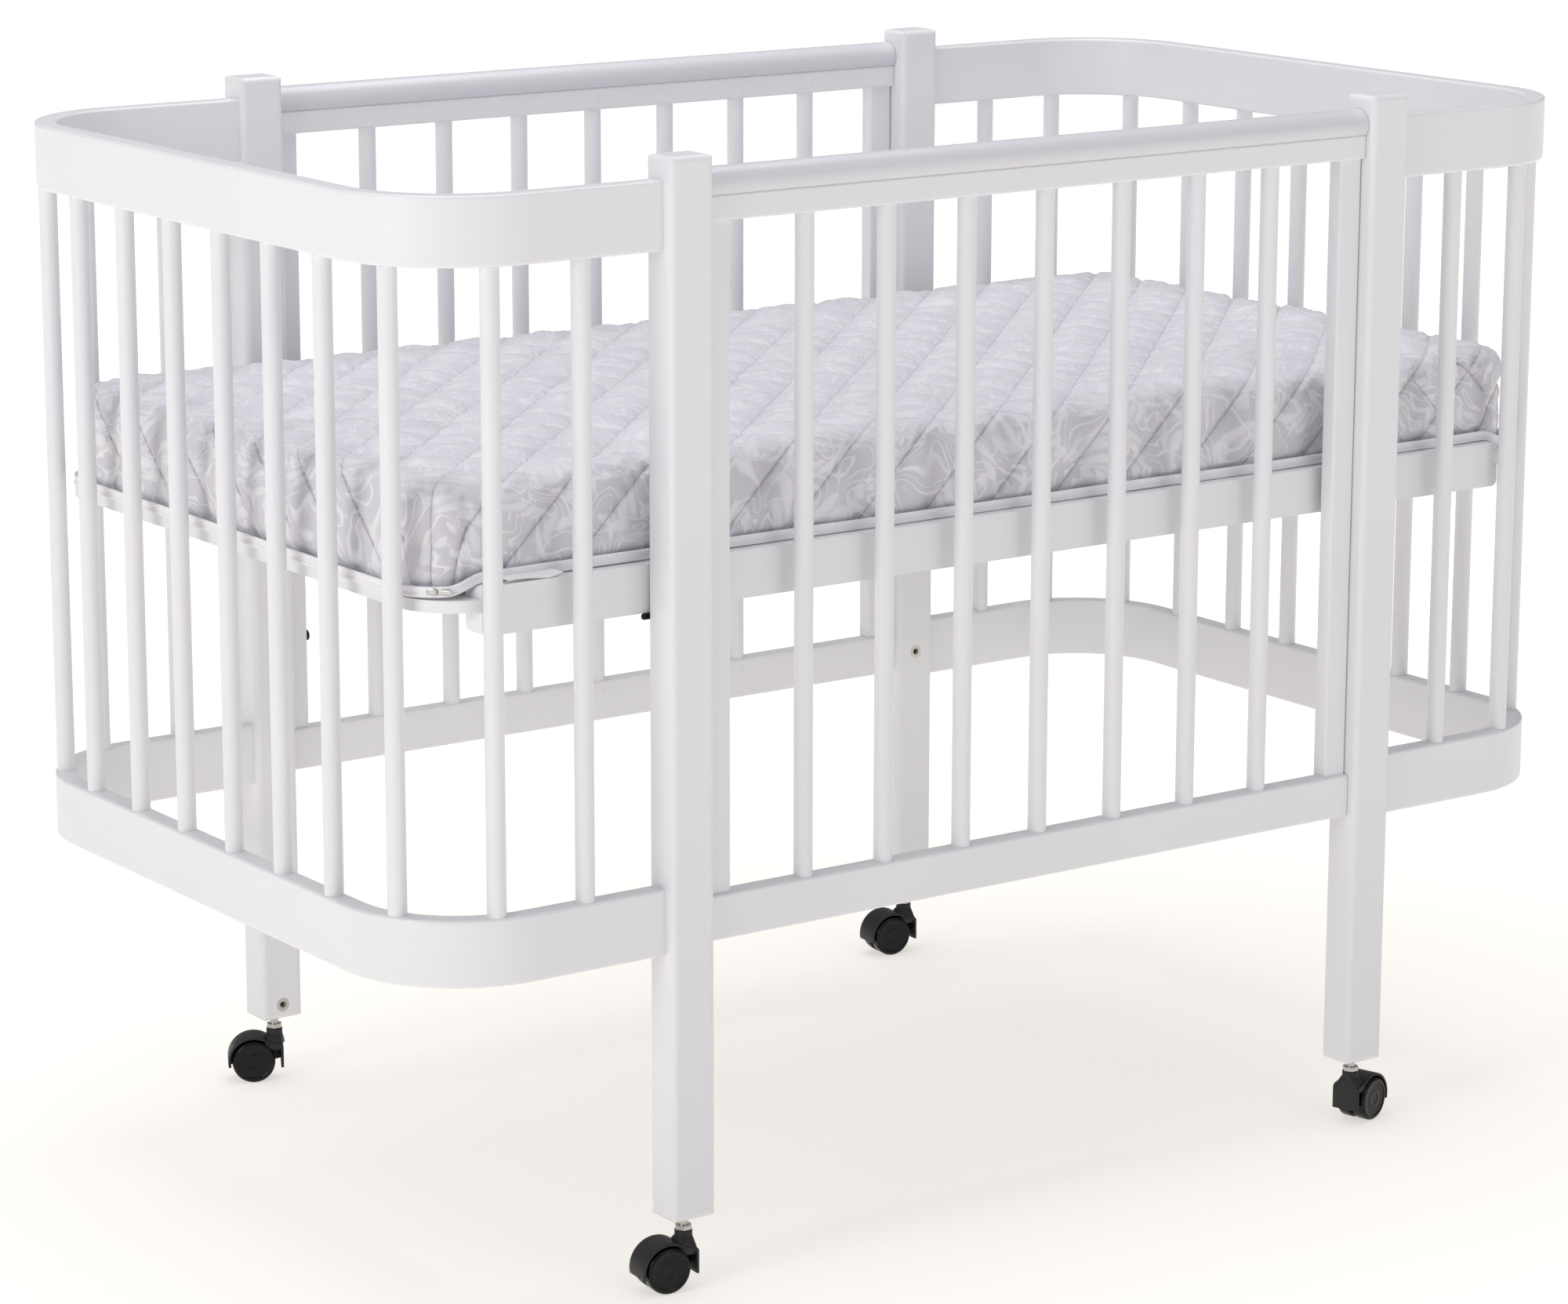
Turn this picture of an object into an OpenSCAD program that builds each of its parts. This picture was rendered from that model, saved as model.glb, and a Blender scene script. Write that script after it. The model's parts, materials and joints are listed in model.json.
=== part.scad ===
// Baby crib with rounded bent-wood ends, a bolted base, a quilted mattress and four twin-wheel casters.
// X runs along the crib, Y across it and Z up. The origin is on the floor, under the middle of the crib.

/* [Posts] */
// Width of a post along the crib
post_w = 42; // [36:1:60]
// Depth of a post across the crib
post_d = 35; // [30:1:50]
// Length of a post
post_len = 880; // [720:5:1100]
// Rounding of a post's edges and ends
post_round = 5; // [2:0.5:7]
// Distance over the posts along the crib
post_span_x = 780; // [600:10:1000]
// Distance over the posts across the crib
post_span_y = 716; // [560:2:900]

/* [End rails] */
// Length of the crib over its bent end rails
crib_len = 1252; // [1120:4:1500]
// Thickness of a bent rail
bent_t = 19; // [15:1:24]
// Height of a bent rail
bent_h = 56; // [44:1:70]
// Outer corner radius of a bent rail
bent_r = 110; // [70:5:140]
// Rounding of a bent rail's edges
bent_round = 2.5; // [1:0.5:5]
// Distance of a bent rail's face behind the post's outer face
bent_setback = 10; // [4:1:14]
// Drop from the top of the posts to the top of the upper bent rail
bent_drop = 19; // [6:1:60]
// Height of the lower bent rail above the foot of the posts
bent_low = 228; // [140:2:300]
// Number of spindles in an end
end_spindle_count = 12; // [6:1:14]
// Distance along the rail from a post to the first end spindle
end_spindle_start = 72; // [40:1:110]

/* [Side panels] */
// Height of the upper side rail, below its cap
side_top_h = 21; // [18:1:30]
// Height of the lower side rail
side_low_h = 38; // [28:1:60]
// Thickness of the side rails
side_t = 20; // [18:1:24]
// Rounding of the side rails' edges
side_round = 2; // [1:0.5:4]
// Distance of the front panel's face behind the posts' outer face
side_front_setback = 9; // [4:1:12]
// Drop from the top of the posts to the top of the cap
side_drop = 12; // [4:1:60]
// Height of the lower side rail above the foot of the posts
side_low = 233; // [140:2:300]
// Height of the rounded cap
cap_h = 22; // [20:1:28]
// Radius of the cap's round
cap_r = 13.4; // [12.8:0.1:15]
// Width of a stile
stile_w = 24; // [18:1:40]
// Thickness of a stile
stile_t = 15.5; // [14:0.5:18]
// Number of spindles in a side
side_spindle_count = 7; // [4:1:10]
// Distance from a stile to the centre of the first side spindle
side_spindle_start = 76.6; // [40:0.1:90]
// Height of a panel bolt above the foot of the posts
panel_bolt_up = 357; // [300:1:500]

/* [Spindles] */
// Diameter of a spindle
spindle_d = 16; // [14:1:18]
// Diameter of the tenon at each end of a spindle
tenon_d = 10; // [8:0.5:11]
// Length of a tenon
tenon_len = 12; // [8:1:14]

/* [Base] */
// Height of the base side rails' top above the foot of the posts
base_up = 549; // [450:1:640]
// Height of a base side rail
base_rail_h = 40; // [34:1:60]
// Thickness of a base side rail
base_rail_t = 25; // [20:1:32]
// Gap between a base side rail's end and the inside of the bent rail
base_rail_gap = 62; // [40:1:120]
// Gap between an end board and the inside of the bent rail
board_gap = 17; // [10:1:30]
// Thickness of the boards and slats
board_t = 10; // [8:1:12]
// Distance from the base rails' top down to the boards
board_drop = 10; // [6:1:14]
// Depth of the groove that holds the boards
groove_depth = 8; // [5:1:12]
// Width of an end board along the crib
board_w = 120; // [90:5:180]
// Number of slats
slat_count = 8; // [4:1:12]
// Width of a slat
slat_w = 60; // [40:1:70]
// Heights of the two lower base positions above the foot of the posts
low_level_1 = 14; // [13:1:60]
low_level_2 = 255; // [200:1:400]

/* [Mattress] */
// Gap between the mattress and the inside of the bent rails
mattress_end_gap = 12; // [6:1:30]
// Gap between the mattress and the inside of the posts
mattress_side_gap = 13; // [6:1:20]
// Thickness of the mattress
mattress_t = 86; // [60:1:120]
// Thickness of the quilted cover
cover_t = 3; // [2:0.5:6]
// Height of the zip band
zip_h = 9; // [6:1:14]
// Thickness of the zip band
zip_t = 2; // [1:0.5:3]

/* [Casters] */
// Diameter of a caster wheel
wheel_d = 40; // [36:1:50]
// Width of a caster wheel
wheel_w = 12; // [10:0.5:14]
// Length of stem between a hood and its post
stem_show = 12; // [8:1:30]
// Distance from the stem's axis to the axle
trail = 20; // [18:0.5:24]
// Diameter of the stem
stem_d = 8; // [6:0.5:10]
// Diameter of the axle
axle_d = 4; // [3:0.5:6]
// Thickness of the hood's wall
hood_wall = 2.5; // [2:0.5:3.5]
// Thickness of the hood's web between the wheels
web_t = 5; // [4:0.5:6]

/* [Hidden] */

// Colours
paint = [0.93, 0.93, 0.94];
cap_grey = [0.84, 0.84, 0.86];
beech = [0.82, 0.68, 0.50];
zinc = [0.78, 0.78, 0.76];
dark_steel = [0.25, 0.25, 0.26];
black_plastic = [0.08, 0.08, 0.085];
cover_grey = [0.88, 0.88, 0.90];
foam = [0.93, 0.88, 0.72];

// How closely curves are drawn, and clearances
curve_fn = 48;
fine = 0.05;       // radial play of a glued or running fit
clear = 0.3;       // gap between pieces that turn past each other
cut = 1;           // how far a cut runs past a face

// Directions: left or front is -1, right or back is +1
left = -1;
right = 1;
front = -1;
back = 1;

// Posts
post_x = (post_span_x - post_w) / 2;
post_y = (post_span_y - post_d) / 2;
post_out_x = post_span_x / 2;
post_in_x = post_out_x - post_w;
post_out_y = post_span_y / 2;
post_in_y = post_out_y - post_d;

// Heights of a caster
wheel_z = wheel_d / 2;
well_r = wheel_d / 2 + 1.5;
hood_r = well_r + hood_wall;
hood_roof = 6;
hood_top = wheel_z + hood_r + hood_roof;
foot_z = hood_top + stem_show;
top_z = foot_z + post_len;

// Bent end rails, measured on their centre line
bent_y = post_out_y - bent_setback - bent_t / 2;
bent_x = (crib_len - bent_t) / 2;
bent_rc = bent_r - bent_t / 2;
bent_top_z = top_z - bent_drop - bent_h;
bent_low_z = foot_z + bent_low;
bent_straight = bent_x - bent_rc - post_out_x;
bent_quarter = PI * bent_rc / 2;
bent_total = 2 * (bent_straight + bent_quarter + bent_y - bent_rc);
end_pitch = (bent_total - 2 * end_spindle_start) / (end_spindle_count - 1);

// Round corner of a piece inside an end, whose ends and sides are gap_x and gap_y from the bent rail:
// the radius that leaves the same gap round the bend
bent_in_r = bent_r - bent_t;
function corner_r(gap_x, gap_y, gap) =
    bent_in_r - gap_x - gap_y + gap - sqrt(2 * (gap_x - gap) * (gap_y - gap));

// Point on the right end's centre line at a distance along it from the front post
function bent_half_point(s) =
    s < bent_straight ? [post_out_x + s, -bent_y] :
    s < bent_straight + bent_quarter ?
        let (a = (s - bent_straight) / bent_rc * 180 / PI)
        [bent_x - bent_rc + bent_rc * sin(a), -bent_y + bent_rc - bent_rc * cos(a)] :
    [bent_x, -bent_y + bent_rc + s - bent_straight - bent_quarter];
function bent_point(s) =
    s <= bent_total / 2 ? bent_half_point(s) :
    let (p = bent_half_point(bent_total - s)) [p[0], -p[1]];
end_spindle_points = [for (i = [0:end_spindle_count - 1]) bent_point(end_spindle_start + i * end_pitch)];

// Side panels: the front one stands behind the posts' outer face, the back one is flush with it
function side_y(sy) = sy < 0 ? -post_out_y + side_front_setback + side_t / 2 : post_out_y - side_t / 2;
function stile_y(sy) = side_y(sy) + (side_t - stile_t) / 2;
panel_gap = 0.5;
side_len = 2 * (post_in_x - panel_gap);
side_low_z = foot_z + side_low;
side_low_top = side_low_z + side_low_h;
cap_z = top_z - side_drop - cap_h;
side_top_z = cap_z - side_top_h;
cap_centre = cap_h - cap_r;
core_t = 13;
core_h = 12;
stile_x = side_len / 2 - stile_w / 2;
panel_bolt_z = foot_z + panel_bolt_up;
side_spindle_end = side_len / 2 - stile_w - side_spindle_start;
side_spindle_pitch = 2 * side_spindle_end / (side_spindle_count - 1);
side_spindle_xs = [for (i = [0:side_spindle_count - 1]) i * side_spindle_pitch - side_spindle_end];

// Dowels
dowel_d = 8;
bent_dowel_len = 40;
bent_dowel_in_post = 20;
bent_dowel_dz = bent_h / 4;
side_dowel_len = 40;
side_dowel_in_post = 14;
side_top_dowel_z = side_top_z + side_top_h / 2;
side_low_dowel_z = side_low_z + side_low_h / 2;

// Bolts and inserts
bolt_d = 6;
bolt_core_d = 5;
bolt_hole_d = 6.6;
bolt_head_d = 10;
bolt_head_h = 4;
bolt_socket = 4.6;
insert_d = 10;
insert_flange_d = 13;
insert_flange_h = 1.2;
panel_insert_len = 12;
insert_socket = 7;
insert_socket_h = 2;
insert_wall = 1.5;
hole_past = 0.6;
sleeve_d = stem_d + 4;
base_insert_len = (post_d - sleeve_d) / 2 - insert_wall;

// Base
base_top = foot_z + base_up;
base_low = base_top - base_rail_h;
plate_t = 2;
plate_w = 30;
plate_h = 40;
plate_below = 5;
plate_r = 2;
tab_w = 52;
tab_h = 5;
base_out_y = post_in_y - plate_t;
base_in_y = base_out_y - base_rail_t;
end_in_x = crib_len / 2 - bent_t;
base_rail_len = 2 * (end_in_x - base_rail_gap);
base_len = 2 * (end_in_x - board_gap);
board_corner_gap = 2.2;
board_r = corner_r(board_gap, bent_y - bent_t / 2 - base_out_y, board_corner_gap);
board_inner_x = base_len / 2 - board_w;
board_z = base_top - board_drop - board_t;
groove_play = 0.1;
board_tongue_y = base_in_y + groove_depth - groove_play;
rail_end_wood = 5;
base_bolt_up = 10;
board_shoulder_x = base_rail_len / 2 - rail_end_wood;
base_bolt_z = base_low + base_bolt_up;
base_levels = [base_bolt_z, foot_z + low_level_2, foot_z + low_level_1];
slat_pitch = 2 * board_inner_x / slat_count;
rail_end_r = 6;

// Mattress
mattress_z = base_top;
mattress_edge = 12;
mattress_len = 2 * (end_in_x - mattress_end_gap);
mattress_w = 2 * (post_in_y - mattress_side_gap);
mattress_corner_gap = 4.6;
mattress_r = corner_r(mattress_end_gap, bent_y - (bent_t + mattress_w) / 2, mattress_corner_gap);
cover_len = mattress_len - 2 * zip_t;
cover_w = mattress_w - 2 * zip_t;
core_gap = 0.2;
tag_w = 52;
tag_out = 15;
tag_t = 0.8;
tag_from_end = 98;
tag_x = tag_from_end - mattress_len / 2;
tag_up = 3;

// Casters
wheel_gap = 0.3;
wheel_in_y = web_t / 2 + wheel_gap;
wheel_out_y = wheel_in_y + wheel_w;
hood_half_w = wheel_out_y - 1;
boss_r = stem_d / 2 + 3.5;
collar_wall = 2.5;
collar_d = stem_d + 2 * collar_wall;
collar_h = 3.5;
stem_in_post = 18;
stem_in_hood = 12;
stem_pin_low = hood_top - stem_in_hood;
stem_hole_past = 1;
skirt_down = 4;
boss_step = 10;
axle_half = wheel_in_y + wheel_w - 3;
sleeve_len = 18;
sleeve_flange_out = 2.5;
sleeve_flange_d = sleeve_d + 2 * sleeve_flange_out;
sleeve_flange_h = 1.5;
// Which way each caster trails, in degrees about Z: front left, front right, back left, back right
trail_angles = [[174, 16], [152, 174]];
function trail_angle(sx, sy) = trail_angles[(sy + 1) / 2][(sx + 1) / 2];

// ---------- shapes that several pieces use ----------

// Rectangle with round corners, centred
module rounded_rect(a, b, r) {
    square([a - 2 * r, b], center = true);
    square([a, b - 2 * r], center = true);
    for (x = [-1, 1], y = [-1, 1])
        translate([x * (a / 2 - r), y * (b / 2 - r)])
            circle(r = r, $fn = curve_fn);
}

// Block standing on Z = 0 with all its edges rounded
module rounded_block(size, r, plan_r) {
    intersection() {
        linear_extrude(size[2]) rounded_rect(size[0], size[1], plan_r);
        translate([0, size[1] / 2, size[2] / 2]) rotate([90, 0, 0])
            linear_extrude(size[1]) rounded_rect(size[0], size[2], r);
        translate([-size[0] / 2, 0, size[2] / 2]) rotate([90, 0, 90])
            linear_extrude(size[0]) rounded_rect(size[1], size[2], r);
    }
}

// Bar along X with a rounded section, centred on X and Y, standing on Z = 0
module bar_x(len, t, h, r) {
    translate([-len / 2, 0, h / 2]) rotate([90, 0, 90])
        linear_extrude(len) rounded_rect(t, h, r);
}

// Round hole or pin along X, from the origin towards +X
module rod_x(d, len) {
    rotate([0, 90, 0]) cylinder(d = d, h = len, $fn = curve_fn);
}

// Round hole or pin along Y, from the origin towards +Y
module rod_y(d, len) {
    rotate([-90, 0, 0]) cylinder(d = d, h = len, $fn = curve_fn);
}

// Children drawn on the right are put on the right or the left
module to_side_x(sx) {
    mirror([sx < 0 ? 1 : 0, 0, 0]) children();
}

// Children drawn at the back are put at the back or the front
module to_side_y(sy) {
    mirror([0, sy < 0 ? 1 : 0, 0]) children();
}

// ---------- posts ----------

// Holes for the dowels of the bent end rails, in the post at the right and back
module bent_dowel_holes() {
    for (z = [bent_top_z, bent_low_z], dz = [-1, 1])
        translate([post_out_x - bent_dowel_in_post - fine, bent_y, z + bent_h / 2 + dz * bent_dowel_dz])
            rod_x(dowel_d + 2 * fine, bent_dowel_in_post + cut);
}

// Holes for the dowels of the side rails, in a post on the right
module side_dowel_holes(sy) {
    for (z = [side_top_dowel_z, side_low_dowel_z])
        translate([post_in_x - cut, side_y(sy), z])
            rod_x(dowel_d + 2 * fine, side_dowel_in_post + cut + fine);
}

// Pocket for an insert with its flange, opening towards -X at the origin
module insert_pocket_x(len) {
    translate([-cut, 0, 0]) rod_x(insert_d + 2 * fine, len + cut + hole_past);
    translate([-cut, 0, 0]) rod_x(insert_flange_d + 2 * fine, insert_flange_h + cut);
}

// Pocket for the insert that holds a caster's stem, opening downwards at the origin
module caster_pocket() {
    translate([0, 0, -cut]) {
        cylinder(d = sleeve_d + 2 * fine, h = sleeve_len + cut + fine, $fn = curve_fn);
        cylinder(d = sleeve_flange_d + 2 * fine, h = sleeve_flange_h + cut, $fn = curve_fn);
        cylinder(d = stem_d + 4 * fine, h = stem_in_post + 2 + cut, $fn = curve_fn);
    }
}

module post(sx, sy) {
    color(paint) to_side_x(sx) difference() {
        translate([post_x, sy * post_y, foot_z])
            rounded_block([post_w, post_d, post_len], post_round, post_round);
        to_side_y(sy) bent_dowel_holes();
        side_dowel_holes(sy);
        if (sy == back) translate([post_in_x, stile_y(sy), panel_bolt_z]) insert_pocket_x(panel_insert_len);
        for (z = base_levels)
            to_side_y(sy) translate([post_x, post_in_y, z])
                rotate([0, 0, 90]) insert_pocket_x(base_insert_len);
        translate([post_x, sy * post_y, foot_z]) caster_pocket();
    }
}

// ---------- bent end rails and their spindles ----------

// Rounded section of a bent rail, standing on its lower edge
module bent_section() {
    translate([0, bent_h / 2]) rounded_rect(bent_t, bent_h, bent_round);
}

// Bent rail of the right end, with its lower edge at Z = 0
module bent_rail() {
    for (sy = [-1, 1]) to_side_y(sy) {
        translate([post_out_x, bent_y, 0]) rotate([90, 0, 90])
            linear_extrude(bent_straight) bent_section();
        translate([bent_x - bent_rc, bent_y - bent_rc, 0])
            rotate_extrude(angle = 90, $fn = 4 * curve_fn) translate([bent_rc, 0]) bent_section();
    }
    translate([bent_x, bent_y - bent_rc, 0]) rotate([90, 0, 0])
        linear_extrude(2 * (bent_y - bent_rc)) bent_section();
}

// Dowel holes in the two ends of a bent rail
module bent_rail_dowel_holes() {
    for (sy = [-1, 1], dz = [-1, 1])
        translate([post_out_x - cut, sy * bent_y, bent_h / 2 + dz * bent_dowel_dz])
            rod_x(dowel_d + 2 * fine, bent_dowel_len - bent_dowel_in_post + cut + fine);
}

// Tenon holes for the end spindles, from a face at Z = 0 upwards
module end_tenon_holes() {
    for (p = end_spindle_points)
        translate([p[0], p[1], -cut])
            cylinder(d = tenon_d + 2 * fine, h = tenon_len + cut + fine, $fn = curve_fn);
}

module end_top_rail(sx) {
    color(paint) to_side_x(sx) translate([0, 0, bent_top_z]) difference() {
        bent_rail();
        bent_rail_dowel_holes();
        end_tenon_holes();
    }
}

module end_bottom_rail(sx) {
    color(paint) to_side_x(sx) translate([0, 0, bent_low_z]) difference() {
        bent_rail();
        bent_rail_dowel_holes();
        translate([0, 0, bent_h]) mirror([0, 0, 1]) end_tenon_holes();
    }
}

// Spindle with a tenon at each end, its round part from Z = 0 to len
module spindle(len) {
    cylinder(d = spindle_d, h = len, $fn = curve_fn);
    translate([0, 0, -tenon_len]) cylinder(d = tenon_d, h = len + 2 * tenon_len, $fn = curve_fn);
}

module end_spindles(sx) {
    color(paint) to_side_x(sx)
        for (p = end_spindle_points)
            translate([p[0], p[1], bent_low_z + bent_h]) spindle(bent_top_z - bent_low_z - bent_h);
}

// ---------- side panels ----------

// Tenon holes for the side spindles, from a face at Z = 0 upwards
module side_tenon_holes() {
    for (x = side_spindle_xs)
        translate([x, 0, -cut])
            cylinder(d = tenon_d + 2 * fine, h = tenon_len + cut + fine, $fn = curve_fn);
}

// Dowel holes in the two ends of a side rail, at the height z
module side_rail_dowel_holes(z) {
    for (sx = [-1, 1])
        to_side_x(sx) translate([side_len / 2 - (side_dowel_len - side_dowel_in_post - panel_gap) - fine, 0, z])
            rod_x(dowel_d + 2 * fine, side_dowel_len);
}

module side_top_rail(sy) {
    color(paint) translate([0, side_y(sy), side_top_z]) difference() {
        union() {
            bar_x(side_len, side_t, side_top_h, side_round);
            translate([-side_len / 2, -core_t / 2, side_top_h / 2])
                cube([side_len, core_t, side_top_h / 2 + core_h]);
        }
        side_tenon_holes();
        side_rail_dowel_holes(side_top_h / 2);
    }
}

// Cap: a rounded cover that is pushed down over the tongue of the upper side rail
module side_rail_cap(sy) {
    color(cap_grey) translate([-side_len / 2, side_y(sy), cap_z]) rotate([90, 0, 90])
        linear_extrude(side_len) difference() {
            intersection() {
                translate([0, cap_centre]) circle(r = cap_r, $fn = 2 * curve_fn);
                translate([-cap_r, 0]) square([2 * cap_r, cap_h]);
            }
            translate([-core_t / 2 - fine, -cut]) square([core_t + 2 * fine, core_h + cut + fine]);
        }
}

module side_bottom_rail(sy) {
    color(paint) translate([0, side_y(sy), side_low_z]) difference() {
        bar_x(side_len, side_t, side_low_h, side_round);
        translate([0, 0, side_low_h]) mirror([0, 0, 1]) side_tenon_holes();
        side_rail_dowel_holes(side_low_h / 2);
    }
}

module side_stile(sx, sy) {
    color(paint) to_side_x(sx) difference() {
        translate([stile_x, stile_y(sy), side_low_top])
            linear_extrude(side_top_z - side_low_top) rounded_rect(stile_w, stile_t, side_round);
        if (sy == back) translate([stile_x - stile_w / 2 - cut, stile_y(sy), panel_bolt_z])
            rod_x(bolt_hole_d, stile_w + 2 * cut);
    }
}

module side_spindles(sy) {
    color(paint)
        for (x = side_spindle_xs)
            translate([x, side_y(sy), side_low_top]) spindle(side_top_z - side_low_top);
}

// ---------- base ----------

// Side rail of the base at the back, with the grooves and slots that hold the boards
module base_side_rail(sy) {
    color(paint) to_side_y(sy) difference() {
        translate([0, base_out_y, base_low + base_rail_h / 2]) rotate([90, 0, 0])
            linear_extrude(base_rail_t) rounded_rect(base_rail_len, base_rail_h, rail_end_r);
        translate([-base_rail_len / 2 - cut, base_in_y - cut, board_z - groove_play])
            cube([base_rail_len + 2 * cut, groove_depth + cut, board_t + 2 * groove_play]);
        for (sx = [-1, 1])
            to_side_x(sx) translate([board_shoulder_x - groove_play, base_in_y - cut, board_z - groove_play])
                cube([base_rail_len / 2, base_rail_t + 2 * cut, board_t + 2 * groove_play]);
        for (sx = [-1, 1])
            translate([sx * post_x, base_in_y - cut, base_bolt_z]) rod_y(bolt_hole_d, base_rail_t + 2 * cut);
    }
}

// Outline of the right end board: a tongue between the rails and a wider end with round corners
module end_board_outline() {
    intersection() {
        rounded_rect(base_len, 2 * base_out_y, board_r);
        union() {
            translate([board_inner_x, -board_tongue_y]) square([base_len / 2, 2 * board_tongue_y]);
            translate([board_shoulder_x, -base_out_y]) square([base_len / 2, 2 * base_out_y]);
        }
    }
}

module base_end_board(sx) {
    color(paint) to_side_x(sx) translate([0, 0, board_z]) linear_extrude(board_t) end_board_outline();
}

module base_slats() {
    color(paint)
        for (i = [0:slat_count - 1])
            translate([(i - (slat_count - 1) / 2) * slat_pitch - slat_w / 2, -board_tongue_y, board_z])
                cube([slat_w, 2 * board_tongue_y, board_t]);
}

// Steel plates between the base side rails and the posts
module base_plates() {
    color(dark_steel)
        for (sx = [-1, 1], sy = [-1, 1])
            to_side_y(sy) translate([sx * post_x, post_in_y, base_low - plate_below + plate_h / 2])
                rotate([90, 0, 0]) linear_extrude(plate_t) difference() {
                    union() {
                        rounded_rect(plate_w, plate_h, plate_r);
                        translate([0, (tab_h - plate_h) / 2]) rounded_rect(tab_w, tab_h, plate_r);
                    }
                    translate([0, base_bolt_z - base_low + plate_below - plate_h / 2])
                        circle(d = bolt_hole_d, $fn = curve_fn);
                }
}

// ---------- bolts, inserts and dowels ----------

// Bolt along X: its head is on the -X side of the origin, grip is the length up to the insert
module bolt_x(grip, thread) {
    difference() {
        union() {
            translate([-bolt_head_h, 0, 0]) rod_x(bolt_head_d, bolt_head_h);
            rod_x(bolt_d, grip - cut);
            rod_x(bolt_core_d, grip + thread);
        }
        translate([-bolt_head_h - cut, 0, 0]) rotate([0, 90, 0])
            cylinder(d = bolt_socket, h = bolt_head_h / 2 + cut, $fn = 6);
    }
}

// Threaded insert along X, its flange at the origin
module insert_x(len) {
    difference() {
        union() {
            rod_x(insert_d, len);
            rod_x(insert_flange_d, insert_flange_h);
        }
        translate([-cut, 0, 0]) rod_x(bolt_core_d + 2 * fine, len + 2 * cut);
        translate([-cut, 0, 0]) rotate([0, 90, 0]) cylinder(d = insert_socket, h = insert_socket_h + cut, $fn = 6);
    }
}

module base_bolts() {
    color(dark_steel)
        for (sx = [-1, 1], sy = [-1, 1])
            to_side_y(sy) translate([sx * post_x, base_in_y, base_bolt_z]) rotate([0, 0, 90])
                bolt_x(base_rail_t + plate_t, base_insert_len - cut);
}

module base_inserts() {
    color(zinc)
        for (sx = [-1, 1], sy = [-1, 1], z = base_levels)
            to_side_y(sy) translate([sx * post_x, post_in_y, z]) rotate([0, 0, 90]) insert_x(base_insert_len);
}

// The back panel is bolted as well as dowelled; the front panel has dowels only
module panel_bolts() {
    color(dark_steel)
        for (sx = [-1, 1])
            to_side_x(sx) translate([stile_x - stile_w / 2, stile_y(back), panel_bolt_z])
                bolt_x(stile_w + panel_gap, panel_insert_len - cut);
}

module panel_inserts() {
    color(zinc)
        for (sx = [-1, 1])
            to_side_x(sx) translate([post_in_x, stile_y(back), panel_bolt_z]) insert_x(panel_insert_len);
}

module rail_dowels() {
    color(beech)
        for (sx = [-1, 1], sy = [-1, 1]) to_side_x(sx) {
            for (z = [bent_top_z, bent_low_z], dz = [-1, 1])
                translate([post_out_x - bent_dowel_in_post, sy * bent_y, z + bent_h / 2 + dz * bent_dowel_dz])
                    rod_x(dowel_d, bent_dowel_len);
            for (z = [side_top_dowel_z, side_low_dowel_z])
                translate([post_in_x + side_dowel_in_post - side_dowel_len, side_y(sy), z])
                    rod_x(dowel_d, side_dowel_len);
        }
}

// ---------- casters ----------

// Children drawn about a stem at the origin, trailing towards +X, are put under a post
module to_caster(sx, sy) {
    translate([sx * post_x, sy * post_y, 0]) rotate([0, 0, trail_angle(sx, sy)]) children();
}

module caster_inserts() {
    color(zinc)
        for (sx = [-1, 1], sy = [-1, 1])
            translate([sx * post_x, sy * post_y, foot_z]) difference() {
                union() {
                    cylinder(d = sleeve_d, h = sleeve_len, $fn = curve_fn);
                    cylinder(d = sleeve_flange_d, h = sleeve_flange_h, $fn = curve_fn);
                }
                translate([0, 0, -cut])
                    cylinder(d = stem_d + 2 * fine, h = sleeve_len + 2 * cut, $fn = curve_fn);
            }
}

module caster_stems() {
    color(zinc)
        for (sx = [-1, 1], sy = [-1, 1])
            translate([sx * post_x, sy * post_y, 0]) {
                translate([0, 0, stem_pin_low])
                    cylinder(d = stem_d, h = foot_z + stem_in_post - stem_pin_low, $fn = curve_fn);
                translate([0, 0, hood_top + clear])
                    cylinder(d = collar_d * 2 / sqrt(3), h = collar_h, $fn = 6);
            }
}

// Hood: a web between the wheels, a round canopy over them and a boss for the stem
module caster_hood(sx, sy) {
    front_x = -boss_r;
    skirt_z = wheel_z - skirt_down;
    front_h = hood_top - boss_step - skirt_z;
    hub_r = 7;
    color(black_plastic) to_caster(sx, sy) difference() {
        union() {
            translate([trail, -hood_half_w, wheel_z]) rod_y(2 * hood_r, 2 * hood_half_w);
            translate([front_x, -hood_half_w, skirt_z]) cube([boss_r, 2 * hood_half_w, front_h]);
            cylinder(r = boss_r, h = hood_top, $fn = curve_fn);
        }
        for (s = [-1, 1])
            to_side_y(s) translate([trail, web_t / 2, wheel_z]) rod_y(2 * well_r, hood_r);
        difference() {
            translate([front_x - cut, -hood_r, skirt_z - 2 * hood_r])
                cube([4 * hood_r, 2 * hood_r, 2 * hood_r]);
            translate([trail, -web_t, wheel_z]) rod_y(2 * hub_r, 2 * web_t);
        }
        translate([0, 0, stem_pin_low - stem_hole_past])
            cylinder(d = stem_d + 2 * fine, h = hood_top, $fn = curve_fn);
        translate([trail, -web_t, wheel_z]) rod_y(axle_d + 2 * fine, 2 * web_t);
    }
}

module caster_axle(sx, sy) {
    color(zinc) to_caster(sx, sy) translate([trail, -axle_half, wheel_z]) rod_y(axle_d, 2 * axle_half);
}

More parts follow.
